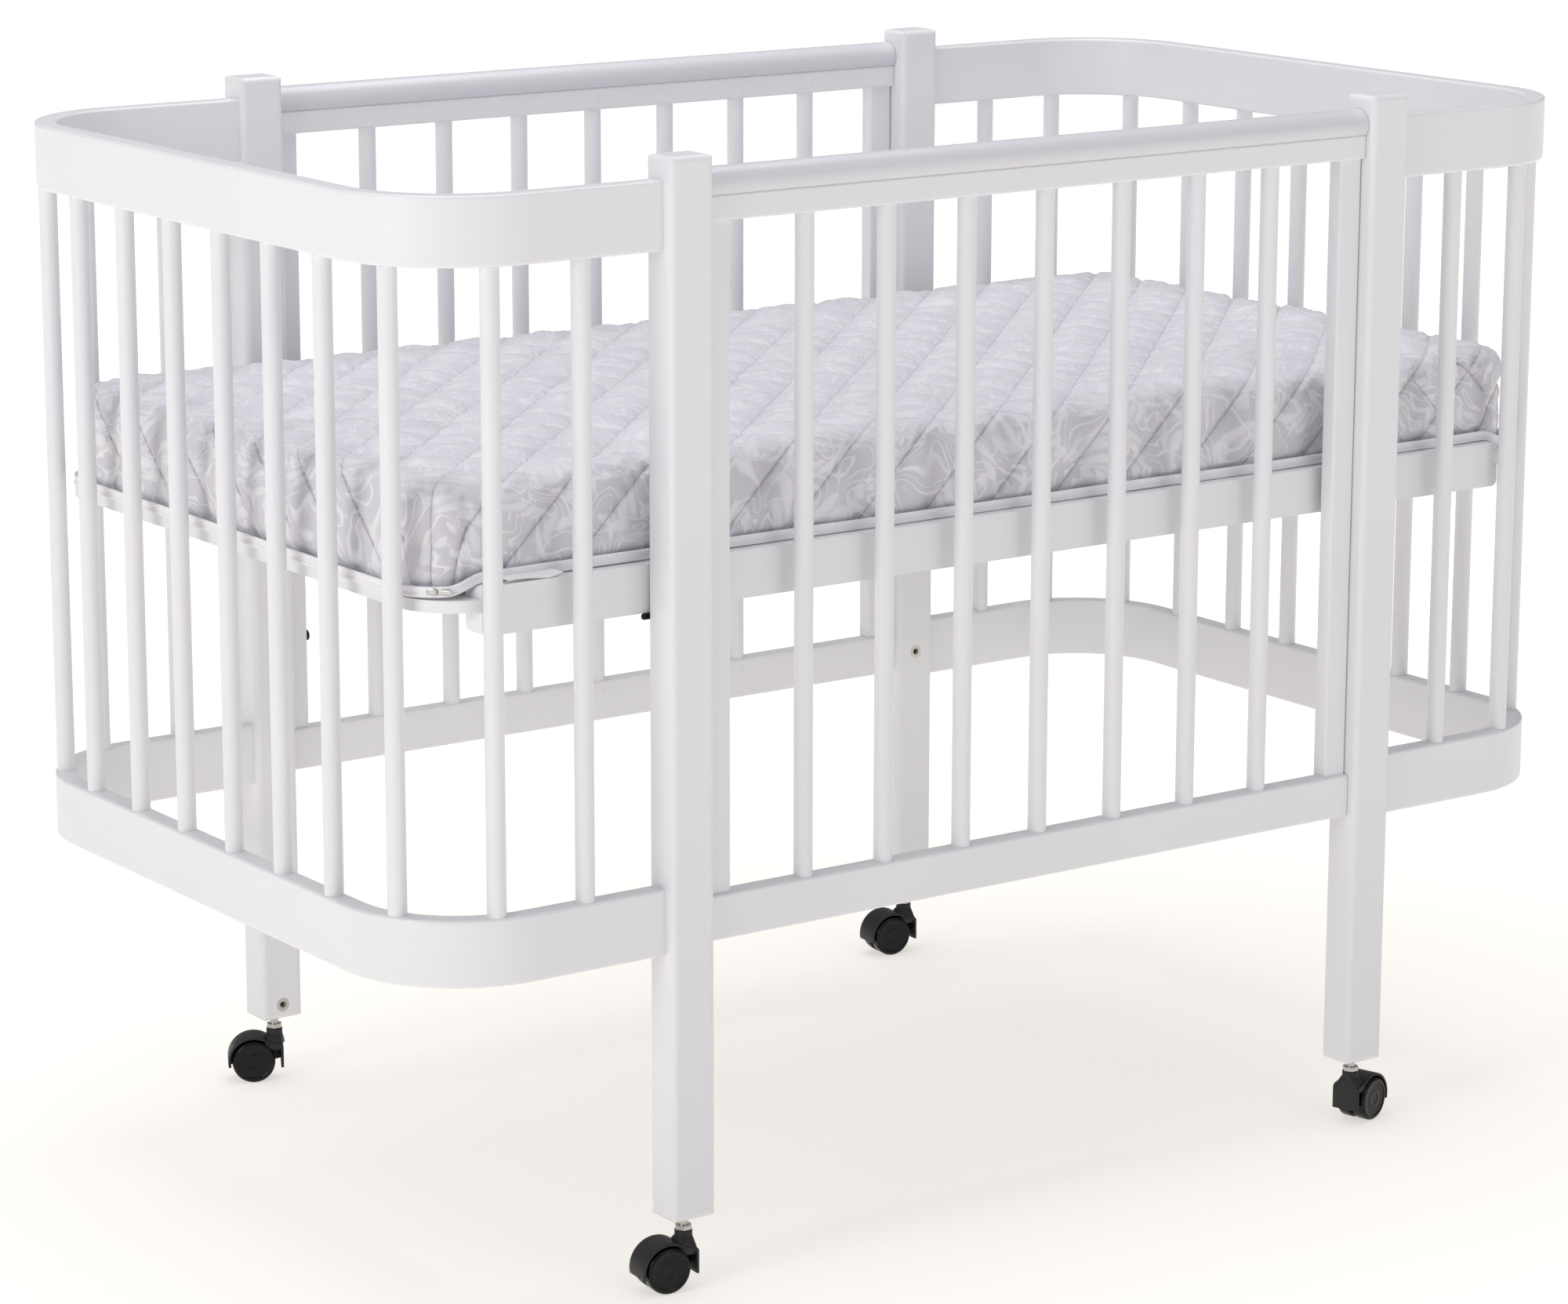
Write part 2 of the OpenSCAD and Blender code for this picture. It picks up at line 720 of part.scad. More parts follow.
// Wheel: a tread with a rounded outer edge, a shallow ring in its face and a blind bore
module caster_wheel(sx, sy, s) {
    r = wheel_d / 2;
    edge = 3;
    ring_in = r - 7;
    ring_out = r - 4;
    ring_deep = 0.8;
    color(black_plastic) to_caster(sx, sy) to_side_y(s) translate([trail, wheel_in_y, wheel_z])
        rotate([-90, 0, 0]) difference() {
            rotate_extrude($fn = 2 * curve_fn) {
                square([r - edge, wheel_w]);
                square([r, wheel_w - edge]);
                translate([r - edge, wheel_w - edge]) intersection() {
                    circle(r = edge, $fn = curve_fn);
                    square(edge);
                }
            }
            translate([0, 0, wheel_w - ring_deep]) difference() {
                cylinder(r = ring_out, h = ring_deep + cut, $fn = 2 * curve_fn);
                translate([0, 0, -cut]) cylinder(r = ring_in, h = ring_deep + 3 * cut, $fn = 2 * curve_fn);
            }
            translate([0, 0, -cut])
                cylinder(d = axle_d + 2 * fine, h = axle_half - wheel_in_y + clear + cut, $fn = curve_fn);
        }
}

// ---------- mattress ----------

// Upper part of the quilted cover, open below
module mattress_cover() {
    inner_r = mattress_r - zip_t - cover_t;
    color(cover_grey) difference() {
        translate([0, 0, mattress_z]) intersection() {
            translate([0, 0, -mattress_t])
                rounded_block([cover_len, cover_w, 2 * mattress_t], mattress_edge, mattress_r - zip_t);
            translate([-cover_len, -cover_w, cover_t]) cube([2 * cover_len, 2 * cover_w, 2 * mattress_t]);
        }
        translate([0, 0, mattress_z - cut])
            linear_extrude(mattress_t - cover_t + cut)
                rounded_rect(cover_len - 2 * cover_t, cover_w - 2 * cover_t, inner_r);
    }
}

module mattress_cover_base() {
    color(cover_grey) translate([0, 0, mattress_z])
        linear_extrude(cover_t) rounded_rect(cover_len, cover_w, mattress_r - zip_t);
}

module mattress_core() {
    inset = 2 * (cover_t + core_gap);
    color(foam) translate([0, 0, mattress_z + cover_t + core_gap])
        linear_extrude(mattress_t - inset)
            rounded_rect(cover_len - inset, cover_w - inset, mattress_r - zip_t - cover_t - core_gap);
}

module mattress_zip_band() {
    color(cover_grey) translate([0, 0, mattress_z]) linear_extrude(zip_h) difference() {
        rounded_rect(mattress_len, mattress_w, mattress_r);
        rounded_rect(cover_len, cover_w, mattress_r - zip_t);
    }
}

// Blank fabric tag sewn into the zip band
module mattress_tag() {
    color("white") translate([tag_x - tag_w / 2, -mattress_w / 2 - tag_out, mattress_z + tag_up])
        cube([tag_w, tag_out, tag_t]);
}

// ---------- assembly ----------

post(left, front);  // post_front_left
post(right, front);  // post_front_right
post(left, back);  // post_back_left
post(right, back);  // post_back_right
end_top_rail(left);  // end_top_rail_left
end_top_rail(right);  // end_top_rail_right
end_bottom_rail(left);  // end_bottom_rail_left
end_bottom_rail(right);  // end_bottom_rail_right
end_spindles(left);  // end_spindles_left
end_spindles(right);  // end_spindles_right
side_top_rail(front);  // side_top_rail_front
side_top_rail(back);  // side_top_rail_back
side_rail_cap(front);  // side_rail_cap_front
side_rail_cap(back);  // side_rail_cap_back
side_bottom_rail(front);  // side_bottom_rail_front
side_bottom_rail(back);  // side_bottom_rail_back
side_stile(left, front);  // side_stile_front_left
side_stile(right, front);  // side_stile_front_right
side_stile(left, back);  // side_stile_back_left
side_stile(right, back);  // side_stile_back_right
side_spindles(front);  // side_spindles_front
side_spindles(back);  // side_spindles_back
base_side_rail(front);  // base_side_rail_front
base_side_rail(back);  // base_side_rail_back
base_end_board(left);  // base_end_board_left
base_end_board(right);  // base_end_board_right
base_slats();
base_plates();
base_bolts();
base_inserts();
panel_bolts();
panel_inserts();
rail_dowels();
caster_inserts();
caster_stems();
caster_hood(left, front);  // caster_hood_front_left
caster_hood(right, front);  // caster_hood_front_right
caster_hood(left, back);  // caster_hood_back_left
caster_hood(right, back);  // caster_hood_back_right
caster_axle(left, front);  // caster_axle_front_left
caster_axle(right, front);  // caster_axle_front_right
caster_axle(left, back);  // caster_axle_back_left
caster_axle(right, back);  // caster_axle_back_right
caster_wheel(left, front, 1);  // caster_wheel_front_left_a
caster_wheel(left, front, -1);  // caster_wheel_front_left_b
caster_wheel(right, front, 1);  // caster_wheel_front_right_a
caster_wheel(right, front, -1);  // caster_wheel_front_right_b
caster_wheel(left, back, 1);  // caster_wheel_back_left_a
caster_wheel(left, back, -1);  // caster_wheel_back_left_b
caster_wheel(right, back, 1);  // caster_wheel_back_right_a
caster_wheel(right, back, -1);  // caster_wheel_back_right_b
mattress_cover();
mattress_cover_base();
mattress_core();
mattress_zip_band();
mattress_tag();
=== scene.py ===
"""Looks of the baby crib: a lacquered beech frame, capped side rails, a quilted mattress and casters."""

import json
import math

import bmesh
import bpy
import numpy as np
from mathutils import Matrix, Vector


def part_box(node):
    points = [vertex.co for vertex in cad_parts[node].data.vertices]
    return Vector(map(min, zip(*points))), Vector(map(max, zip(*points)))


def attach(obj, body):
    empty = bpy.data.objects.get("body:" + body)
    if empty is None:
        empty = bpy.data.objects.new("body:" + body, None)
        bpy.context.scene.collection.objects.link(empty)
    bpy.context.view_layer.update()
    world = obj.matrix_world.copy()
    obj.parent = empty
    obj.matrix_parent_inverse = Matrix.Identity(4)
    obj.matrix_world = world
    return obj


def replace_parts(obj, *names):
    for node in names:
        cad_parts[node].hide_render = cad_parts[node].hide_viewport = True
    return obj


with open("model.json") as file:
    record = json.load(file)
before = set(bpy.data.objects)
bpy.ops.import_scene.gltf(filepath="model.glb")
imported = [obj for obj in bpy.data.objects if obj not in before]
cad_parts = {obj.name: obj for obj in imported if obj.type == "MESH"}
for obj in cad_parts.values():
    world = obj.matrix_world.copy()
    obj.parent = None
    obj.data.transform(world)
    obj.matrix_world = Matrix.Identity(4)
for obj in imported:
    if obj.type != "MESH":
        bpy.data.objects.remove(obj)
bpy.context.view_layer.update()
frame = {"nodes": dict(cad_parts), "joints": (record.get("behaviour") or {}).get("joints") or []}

MM = 0.001
GLOW_NEAR = 0.57         # strength of the floor's glow under the crib, kept low there as painted shade
GLOW_FAR = 0.95          # and a few metres out
FLOOR_REACH = 45.0       # from the middle of the floor to its edge, in metres
SKY_COLOUR = "#F7F6FF"
SKY_STRENGTH = 0.34
KEY_WATTS, TOP_WATTS, FILL_WATTS = 46, 62, 20
SENSOR_WIDTH, LENS = 36, 111.7    # in millimetres
CAMERA_PLACE = (-2.5188, -3.4965, 1.4212)
CAMERA_YAW, CAMERA_PITCH, CAMERA_ROLL = 35.5, 13.0, 0.1    # in degrees
CAMERA_SIGHT = 120       # how far the camera sees, in metres
FULL_TURN = 6.283        # one turn in radians, for patterns
CORNERS = ("front_left", "front_right", "back_left", "back_right")


# ---------- meshes ----------


def merged(mesh):
    """Seals a mesh: coincident points become one, faces with no area go, and all faces turn outwards."""
    bm = bmesh.new()
    bm.from_mesh(mesh)
    bmesh.ops.remove_doubles(bm, verts=bm.verts, dist=0.002 * MM)
    bmesh.ops.dissolve_degenerate(bm, edges=bm.edges, dist=0.001 * MM)
    bmesh.ops.recalc_face_normals(bm, faces=bm.faces)
    bm.to_mesh(mesh)
    bm.free()


def surface(name, grids, material, body, smooth=True):
    """A piece made of point grids, each rows by columns by 3, with a quad between each four neighbours."""
    points, quads, start = [], [], 0
    for grid in grids:
        rows, cols = grid.shape[:2]
        at = np.arange(rows * cols).reshape(rows, cols) + start
        quads.append(np.stack([at[:-1, :-1], at[1:, :-1], at[1:, 1:], at[:-1, 1:]], -1).reshape(-1, 4))
        points.append(grid.reshape(-1, 3))
        start += rows * cols
    mesh = bpy.data.meshes.new(name)
    mesh.from_pydata(np.concatenate(points).tolist(), [], np.concatenate(quads).tolist())
    merged(mesh)
    mesh.polygons.foreach_set("use_smooth", np.full(len(mesh.polygons), smooth))
    mesh.materials.append(material)
    piece = bpy.data.objects.new(name, mesh)
    bpy.context.scene.collection.objects.link(piece)
    if body:
        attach(piece, body)
    return piece


def coordinates(mesh):
    """The mesh's points as an array of N by 3."""
    co = np.zeros(len(mesh.vertices) * 3)
    mesh.vertices.foreach_get("co", co)
    return co.reshape(-1, 3)


def normals(mesh):
    """The outward directions at the mesh's points, N by 3."""
    n = np.zeros(len(mesh.vertices) * 3)
    mesh.vertices.foreach_get("normal", n)
    return n.reshape(-1, 3)


def evaluated(piece):
    """A new mesh of the piece with its modifiers in it."""
    graph = bpy.context.evaluated_depsgraph_get()
    return bpy.data.meshes.new_from_object(piece.evaluated_get(graph))


def ramp(x, low, high):
    """0 below low, 1 above high, and the smooth cubic 3t^2 - 2t^3 between them."""
    t = np.clip((x - low) / (high - low), 0, 1)
    return t * t * (3 - 2 * t)


def signed_power(t, power):
    """The size of t to a power, with the sign of t."""
    return np.sign(t) * np.abs(t) ** power


def waves(x, y, seed):
    """Smooth random heights from 0 to 1: a table of seeded values, blended between its four nearest cells."""
    table = np.random.RandomState(seed).rand(64, 64)
    i, j = np.floor(x).astype(int), np.floor(y).astype(int)
    u, v = x - i, y - j
    u, v = u * u * (3 - 2 * u), v * v * (3 - 2 * v)
    corner = [table[(i + a) % 64, (j + b) % 64] for a in (0, 1) for b in (0, 1)]
    return (corner[0] * (1 - v) + corner[1] * v) * (1 - u) + (corner[2] * (1 - v) + corner[3] * v) * u


def round_outline(half_x, half_y, radius, count):
    """Points and outward directions at even steps round a rectangle with round corners, from the
    middle of its back."""
    straight = [2 * (half_x - radius), 2 * (half_y - radius)]
    arc = math.pi / 2 * radius
    total = 2 * sum(straight) + 4 * arc
    s = (np.arange(count + 1) / count * total) % total
    lengths = [straight[0] / 2, arc, straight[1], arc, straight[0], arc, straight[1], arc, straight[0] / 2]
    ends = np.concatenate([[0], np.cumsum(lengths)])
    points, outs = np.zeros((count + 1, 2)), np.zeros((count + 1, 2))
    cx, cy = half_x - radius, half_y - radius
    centres = [(cx, cy), (cx, -cy), (-cx, -cy), (-cx, cy)]
    for k, length in enumerate(lengths):
        here = (s >= ends[k]) & (s < ends[k + 1])
        d = s[here] - ends[k]
        side = k // 2
        angle = math.pi / 2 - side * math.pi / 2
        if k % 2:
            turn = angle - d / radius
            out = np.stack([np.cos(turn), np.sin(turn)], -1)
            points[here] = np.array(centres[side]) + radius * out
        else:
            facing = np.array([math.cos(angle), math.sin(angle)])
            first = np.array(centres[side - 1]) + radius * facing if k else np.array([0, half_y])
            out = np.tile(facing, (len(d), 1))
            points[here] = first + d[:, None] * [facing[1], -facing[0]]
        outs[here] = out
    return points, outs


def turned(profile, steps):
    """A profile of (radius, height) carried round the Z axis: x = r cos a, y = r sin a, z = h."""
    profile = np.asarray(profile, float)
    a = np.linspace(0, 2 * math.pi, steps + 1)
    return np.stack([np.outer(profile[:, 0], np.cos(a)), np.outer(profile[:, 0], np.sin(a)),
                     np.outer(profile[:, 1], np.ones_like(a))], -1)


def arc_points(cx, cy, radius, start, end, count):
    """Points on a circle's arc, from one angle in degrees to another."""
    a = np.radians(np.linspace(start, end, count))
    return np.stack([cx + radius * np.cos(a), cy + radius * np.sin(a)], -1)


# ---------- materials ----------


def linear(colour):
    """sRGB hex to linear: c / 12.92 up to 0.04045, and ((c + 0.055) / 1.055) ^ 2.4 above it."""
    c = np.array([int(colour[i:i + 2], 16) for i in (1, 3, 5)]) / 255
    c = np.where(c <= 0.04045, c / 12.92, ((c + 0.055) / 1.055) ** 2.4)
    return (*c.tolist(), 1.0)


def add(tree, kind, inputs=None, **settings):
    """Adds a node: settings are its properties, and inputs are values or the sockets that feed it."""
    made = tree.nodes.new("ShaderNode" + kind)
    for name, value in settings.items():
        setattr(made, name, value)
    for key, value in (inputs or {}).items():
        if isinstance(value, bpy.types.NodeSocket):
            tree.links.new(value, made.inputs[key])
        else:
            made.inputs[key].default_value = value
    return made


def new_tree(name):
    """A material with an empty node tree."""
    material = bpy.data.materials.new(name)
    material.use_nodes = True
    material.node_tree.nodes.clear()
    return material, material.node_tree


def shade(tree, inputs):
    """The surface: one Principled shader that goes to the output."""
    shader = add(tree, "BsdfPrincipled", inputs)
    add(tree, "OutputMaterial", {"Surface": shader.outputs["BSDF"]})


def noise(tree, coords, size, detail=2.0, rough=0.5, distortion=0.0):
    """Noise whose features are about size metres across, or size along each axis."""
    sizes = size if isinstance(size, tuple) else (size, size, size)
    place = add(tree, "Mapping", {"Vector": coords, "Scale": tuple(1 / s for s in sizes)})
    return add(tree, "TexNoise", {"Vector": place.outputs[0], "Scale": 1.0, "Detail": detail,
                                  "Roughness": rough, "Distortion": distortion}).outputs["Fac"]


def between(tree, factor, low, high):
    """A number that runs from low to high as factor goes from 0.3 to 0.7, most of a noise's range."""
    return add(tree, "MapRange", {"Value": factor, "From Min": 0.3, "From Max": 0.7, "To Min": low,
                                  "To Max": high}).outputs["Result"]


def blend_colours(tree, factor, first, second):
    """A mix of two hex colours, first where factor is 0 and second where it is 1."""
    mix = add(tree, "Mix", {"Factor": factor}, data_type="RGBA")
    for socket in mix.inputs:
        if socket.type == "RGBA":
            socket.default_value = linear(first if socket.name == "A" else second)
    return next(socket for socket in mix.outputs if socket.type == "RGBA")


def calc(tree, operation, *values):
    """One Math node."""
    return add(tree, "Math", dict(enumerate(values)), operation=operation).outputs[0]


def lacquered_beech(name, along):
    """Beech sprayed with satin white lacquer. The eye gets a soft, broad highlight, a fine orange peel from
    the spray and, under it, the faintest trace of grain along the piece, with slow changes of white."""
    material, tree = new_tree(name)
    spot = add(tree, "TexCoord").outputs["Object"]
    grain_size = [1.6 * MM] * 3
    grain_size[along] = 90 * MM
    grain = noise(tree, spot, tuple(grain_size), 3.0)
    peel = noise(tree, spot, 2.2 * MM, 1.0)
    cloud = noise(tree, spot, 140 * MM, 1.0)
    relief = calc(tree, "MULTIPLY_ADD", grain, 0.45, peel)
    bump = add(tree, "Bump", {"Height": relief, "Strength": 0.22, "Distance": 0.06 * MM})
    shade(tree, {"Base Color": blend_colours(tree, cloud, "#E3E3E6", "#E8E8EA"),
                 "Roughness": between(tree, grain, 0.34, 0.43), "IOR": 1.5, "Coat Weight": 0.2,
                 "Coat Roughness": 0.22, "Normal": bump.outputs["Normal"]})
    return material


def extruded_cap():
    """Extruded ABS, satin. It is a shade greyer and smoother than the lacquer, with die lines along it."""
    material, tree = new_tree("Extruded ABS, satin")
    spot = add(tree, "TexCoord").outputs["Object"]
    lines = noise(tree, spot, (400 * MM, 1.1 * MM, 1.1 * MM), 2.0)
    haze = noise(tree, spot, 45 * MM, 2.0)
    bump = add(tree, "Bump", {"Height": lines, "Strength": 0.12, "Distance": 0.04 * MM})
    shade(tree, {"Base Color": blend_colours(tree, haze, "#D5D5DA", "#D8D8DC"),
                 "Roughness": between(tree, haze, 0.30, 0.34), "IOR": 1.53, "Coat Weight": 0.15,
                 "Coat Roughness": 0.15, "Normal": bump.outputs["Normal"]})
    return material


def bare_beech():
    """Turned beech, bare. Warm pinkish brown with short darker flecks, each a few millimetres long."""
    material, tree = new_tree("Beech, turned and left bare")
    spot = add(tree, "TexCoord").outputs["Object"]
    flecks = noise(tree, spot, (5 * MM, 0.7 * MM, 0.7 * MM), 2.0)
    bump = add(tree, "Bump", {"Height": flecks, "Strength": 0.3, "Distance": 0.05 * MM})
    shade(tree, {"Base Color": blend_colours(tree, flecks, "#B98A5E", "#D6AF83"), "Roughness": 0.6, "IOR": 1.5,
                 "Normal": bump.outputs["Normal"]})
    return material


def metal(name, dark, light, rough_low, rough_high, grain):
    """A plated steel: crystals under a millimetre wide change its tone, and it is scuffed in patches."""
    material, tree = new_tree(name)
    spot = add(tree, "TexCoord").outputs["Object"]
    crystals = noise(tree, spot, grain, 3.0)
    scuffs = noise(tree, spot, 4 * MM, 3.0, 0.6)
    bump = add(tree, "Bump", {"Height": crystals, "Strength": 0.25, "Distance": 0.03 * MM})
    shade(tree, {"Base Color": blend_colours(tree, crystals, dark, light), "Metallic": 1.0,
                 "Roughness": between(tree, scuffs, rough_low, rough_high), "Normal": bump.outputs["Normal"]})
    return material


def moulded(name, dark, light, rough_low, rough_high, grain, depth, shine):
    """A black moulding. Spark-eroded grain scatters the highlight, and handling leaves duller patches."""
    material, tree = new_tree(name)
    spot = add(tree, "TexCoord").outputs["Object"]
    pits = noise(tree, spot, grain, 2.0)
    rubs = noise(tree, spot, 9 * MM, 3.0, 0.6)
    bump = add(tree, "Bump", {"Height": pits, "Strength": 0.5, "Distance": depth})
    shade(tree, {"Base Color": blend_colours(tree, rubs, dark, light),
                 "Roughness": between(tree, rubs, rough_low, rough_high), "IOR": 1.52,
                 "Specular IOR Level": shine, "Normal": bump.outputs["Normal"]})
    return material


def jacquard():
    """Polyester jacquard, quilted. Satin scrolls and fern leaves stand pale against a duller grey ground, the
    thread is drawn 1.2 mm wide so that it shows, and stitches 4 mm long run in the quilting grooves, where
    the cloth is darkened as painted shade."""
    material, tree = new_tree("Polyester jacquard, quilted")
    cloth = add(tree, "UVMap", uv_map="cloth").outputs["UV"]
    quilt = add(tree, "UVMap", uv_map="quilt").outputs["UV"]
    cell = 84 * MM
    unit = add(tree, "Mapping", {"Vector": cloth, "Scale": (1 / cell,) * 3}).outputs[0]
    drift = add(tree, "TexNoise", {"Vector": unit, "Scale": 1.0, "Detail": 1.0}).outputs["Color"]
    push = add(tree, "VectorMath", {0: drift, 1: (0.5, 0.5, 0.5)}, operation="SUBTRACT").outputs[0]
    push = add(tree, "VectorMath", {0: push, "Scale": 0.9}, operation="SCALE").outputs[0]
    warped = add(tree, "VectorMath", {0: unit, 1: push}, operation="ADD").outputs[0]
    cells = add(tree, "TexVoronoi", {"Vector": warped, "Scale": 1.0, "Randomness": 0.75},
                voronoi_dimensions="2D")
    local = add(tree, "VectorMath", {0: warped, 1: cells.outputs["Position"]}, operation="SUBTRACT").outputs[0]
    part = add(tree, "SeparateXYZ", {0: local})
    angle = calc(tree, "ARCTAN2", part.outputs[1], part.outputs[0])
    reach = cells.outputs["Distance"]
    chance = add(tree, "SeparateColor", {0: cells.outputs["Color"]})
    # Scroll: arms that wind out from each cell's middle, turned by a random angle
    wind = calc(tree, "MULTIPLY_ADD", reach, 11.0, calc(tree, "MULTIPLY", chance.outputs[0], FULL_TURN))
    arms = calc(tree, "SINE", calc(tree, "MULTIPLY_ADD", angle, 2.0, wind))
    leaf = calc(tree, "SINE", calc(tree, "MULTIPLY_ADD", reach, 42.0, calc(tree, "MULTIPLY", angle, -3.0)))
    scroll = calc(tree, "MULTIPLY_ADD", leaf, 0.45, arms)
    scroll = add(tree, "MapRange", {"Value": scroll, "From Min": 0.3, "From Max": 0.9}).outputs["Result"]
    # Fern strokes: thin bands where a folded noise crosses a few levels
    folds = add(tree, "TexNoise", {"Vector": warped, "Scale": 1.5, "Detail": 1.0,
                                   "Distortion": 1.1}).outputs["Fac"]
    bands = calc(tree, "PINGPONG", calc(tree, "MULTIPLY", folds, 8.0), 0.5)
    strokes = add(tree, "MapRange", {"Value": bands, "From Min": 0.36, "From Max": 0.45}).outputs["Result"]
    motif = calc(tree, "MAXIMUM", calc(tree, "MULTIPLY", scroll, 0.75), calc(tree, "MULTIPLY", strokes, 0.9))
    # The motif fades on faces that look up, so the top is more even in tone
    up = add(tree, "SeparateXYZ", {0: add(tree, "NewGeometry").outputs["Normal"]}).outputs["Z"]
    plain = add(tree, "MapRange", {"Value": up, "From Min": 0.4, "From Max": 0.9, "To Min": 1.0,
                                   "To Max": 0.4})
    motif = calc(tree, "MULTIPLY", motif, plain.outputs["Result"])
    # Threads
    thread = 1.2 * MM
    thread_at = add(tree, "Mapping", {"Vector": cloth, "Scale": (FULL_TURN / thread,) * 3}).outputs[0]
    thread_part = add(tree, "SeparateXYZ", {0: thread_at})
    weave = calc(tree, "MULTIPLY", calc(tree, "SINE", thread_part.outputs[0]),
                 calc(tree, "SINE", thread_part.outputs[1]))
    # Stitches: dashes in the grooves, 4 mm apart, and painted shade along the grooves
    across = add(tree, "SeparateXYZ", {0: quilt})
    pitch, stitch = 70 * MM, 4 * MM
    lines, groove_shades = [], []
    for sign in (-1.0, 1.0):
        skew = calc(tree, "MULTIPLY_ADD", across.outputs[1], sign, across.outputs[0])
        near = calc(tree, "PINGPONG", calc(tree, "MULTIPLY", skew, 1 / pitch), 0.5)
        on_line = add(tree, "MapRange", {"Value": near, "From Min": 0.0, "From Max": 0.018, "To Min": 1.0,
                                         "To Max": 0.0}).outputs["Result"]
        run = calc(tree, "MULTIPLY_ADD", across.outputs[1], -sign, across.outputs[0])
        dash = calc(tree, "PINGPONG", calc(tree, "MULTIPLY", run, 0.707 / stitch), 0.5)
        dash = add(tree, "MapRange", {"Value": dash, "From Min": 0.08, "From Max": 0.2}).outputs["Result"]
        lines.append(calc(tree, "MULTIPLY", on_line, dash))
        # Painted shade: the colour darkens near each line of quilting
        groove_shades.append(add(tree, "MapRange", {"Value": near, "From Min": 0.008, "From Max": 0.035, "To Min": 1.0,
                                              "To Max": 0.0}).outputs["Result"])
    shown = add(tree, "Attribute", attribute_name="cross_line").outputs["Fac"]
    stitches = calc(tree, "MAXIMUM", lines[0], calc(tree, "MULTIPLY", lines[1], shown))
    # Painted shade along the grooves, weaker on the top
    crease = calc(tree, "MAXIMUM", groove_shades[0], calc(tree, "MULTIPLY", groove_shades[1], shown))
    crease = calc(tree, "MULTIPLY", crease, calc(tree, "POWER", plain.outputs["Result"], 0.7))
    height = calc(tree, "MULTIPLY_ADD", motif, 0.5, calc(tree, "MULTIPLY", weave, 0.12))
    height = calc(tree, "SUBTRACT", height, calc(tree, "MULTIPLY", stitches, 1.6))
    bump = add(tree, "Bump", {"Height": height, "Strength": 0.5, "Distance": 0.35 * MM})
    tone = add(tree, "MapRange", {"Value": noise(tree, cloth, 90 * MM, 2.0), "From Min": 0.3, "From Max": 0.7,
                                  "To Min": -0.1, "To Max": 0.1}).outputs["Result"]
    # The painted groove shade is taken off the pale tone
    pale = calc(tree, "SUBTRACT", calc(tree, "ADD", motif, tone), crease)
    pale = add(tree, "MapRange", {"Value": pale, "From Min": -1.0, "From Max": 1.0}).outputs["Result"]
    shade(tree, {"Base Color": blend_colours(tree, pale, "#B5B3BB", "#E9E8EC"),
                 "Roughness": add(tree, "MapRange", {"Value": motif, "To Min": 0.66, "To Max": 0.42}).outputs[0],
                 "IOR": 1.5, "Sheen Weight": 0.25, "Sheen Roughness": 0.4, "Normal": bump.outputs["Normal"]})
    return material


def woven_tape(name, dark, light, thread):
    """Woven polyester. Ribs of thread cross its length, with a slight change of tone from thread to thread."""
    material, tree = new_tree(name)
    spot = add(tree, "TexCoord").outputs["Object"]
    scaled = add(tree, "Mapping", {"Vector": spot, "Scale": (FULL_TURN / thread,) * 3}).outputs[0]
    parts = add(tree, "SeparateXYZ", {0: scaled})
    ribs = calc(tree, "MULTIPLY", calc(tree, "SINE", calc(tree, "ADD", parts.outputs[0], parts.outputs[1])),
                calc(tree, "SINE", parts.outputs[2]))
    tone = noise(tree, spot, 6 * MM, 2.0)
    bump = add(tree, "Bump", {"Height": ribs, "Strength": 0.4, "Distance": 0.15 * MM})
    shade(tree, {"Base Color": blend_colours(tree, tone, dark, light), "Roughness": 0.68, "IOR": 1.5,
                 "Sheen Weight": 0.2, "Sheen Roughness": 0.5, "Normal": bump.outputs["Normal"]})
    return material


def glowing_floor():
    """White floor that glows, painted light from a part that is no lamp: it stays white with only a trace of
    shadow, and its glow sends a slightly warm painted light up under the crib. The glow is weaker within a few
    metres, as painted shade under the crib."""
    material, tree = new_tree("White floor, glowing as painted light")
    spot = add(tree, "TexCoord").outputs["Object"]
    cloud = noise(tree, spot, 0.9, 2.0)
    away = add(tree, "VectorMath", {0: spot}, operation="LENGTH").outputs["Value"]
    # Painted light: the floor glows and lights the crib from below though it is no lamp; its glow is weaker near
    # the middle, painted shade under the crib
    glow = add(tree, "MapRange", {"Value": away, "From Min": 0.3, "From Max": 2.8, "To Min": GLOW_NEAR,
                                  "To Max": GLOW_FAR}).outputs["Result"]
    shade(tree, {"Base Color": blend_colours(tree, cloud, "#BBB8B3", "#BFBCB7"), "Roughness": 0.9,
                 "Emission Color": linear("#FFFBF5"), "Emission Strength": glow})
    return material


lacquer_x = lacquered_beech("Beech in satin white lacquer, grain along X", 0)
lacquer_y = lacquered_beech("Beech in satin white lacquer, grain along Y", 1)
lacquer_z = lacquered_beech("Beech in satin white lacquer, grain along Z", 2)
cap_abs = extruded_cap()
beech = bare_beech()
zinc = metal("Zinc-plated steel", "#A9A9A4", "#CBCBC6", 0.24, 0.4, 0.5 * MM)
black_steel = metal("Steel with black oxide", "#1F1F21", "#38383A", 0.38, 0.55, 0.4 * MM)
hood_abs = moulded("Moulded ABS, spark-eroded", "#161618", "#202022", 0.42, 0.55, 0.7 * MM, 0.05 * MM, 0.4)
wheel_nylon = moulded("Moulded nylon, glossy", "#0B0C0D", "#111214", 0.2, 0.3, 1.6 * MM, 0.01 * MM, 0.22)
cover_cloth = jacquard()
zip_cloth = woven_tape("Woven polyester tape", "#EBEAEE", "#F3F2F5", 1.5 * MM)
tag_cloth = woven_tape("Woven satin ribbon", "#EDEDEE", "#F6F6F6", 0.9 * MM)

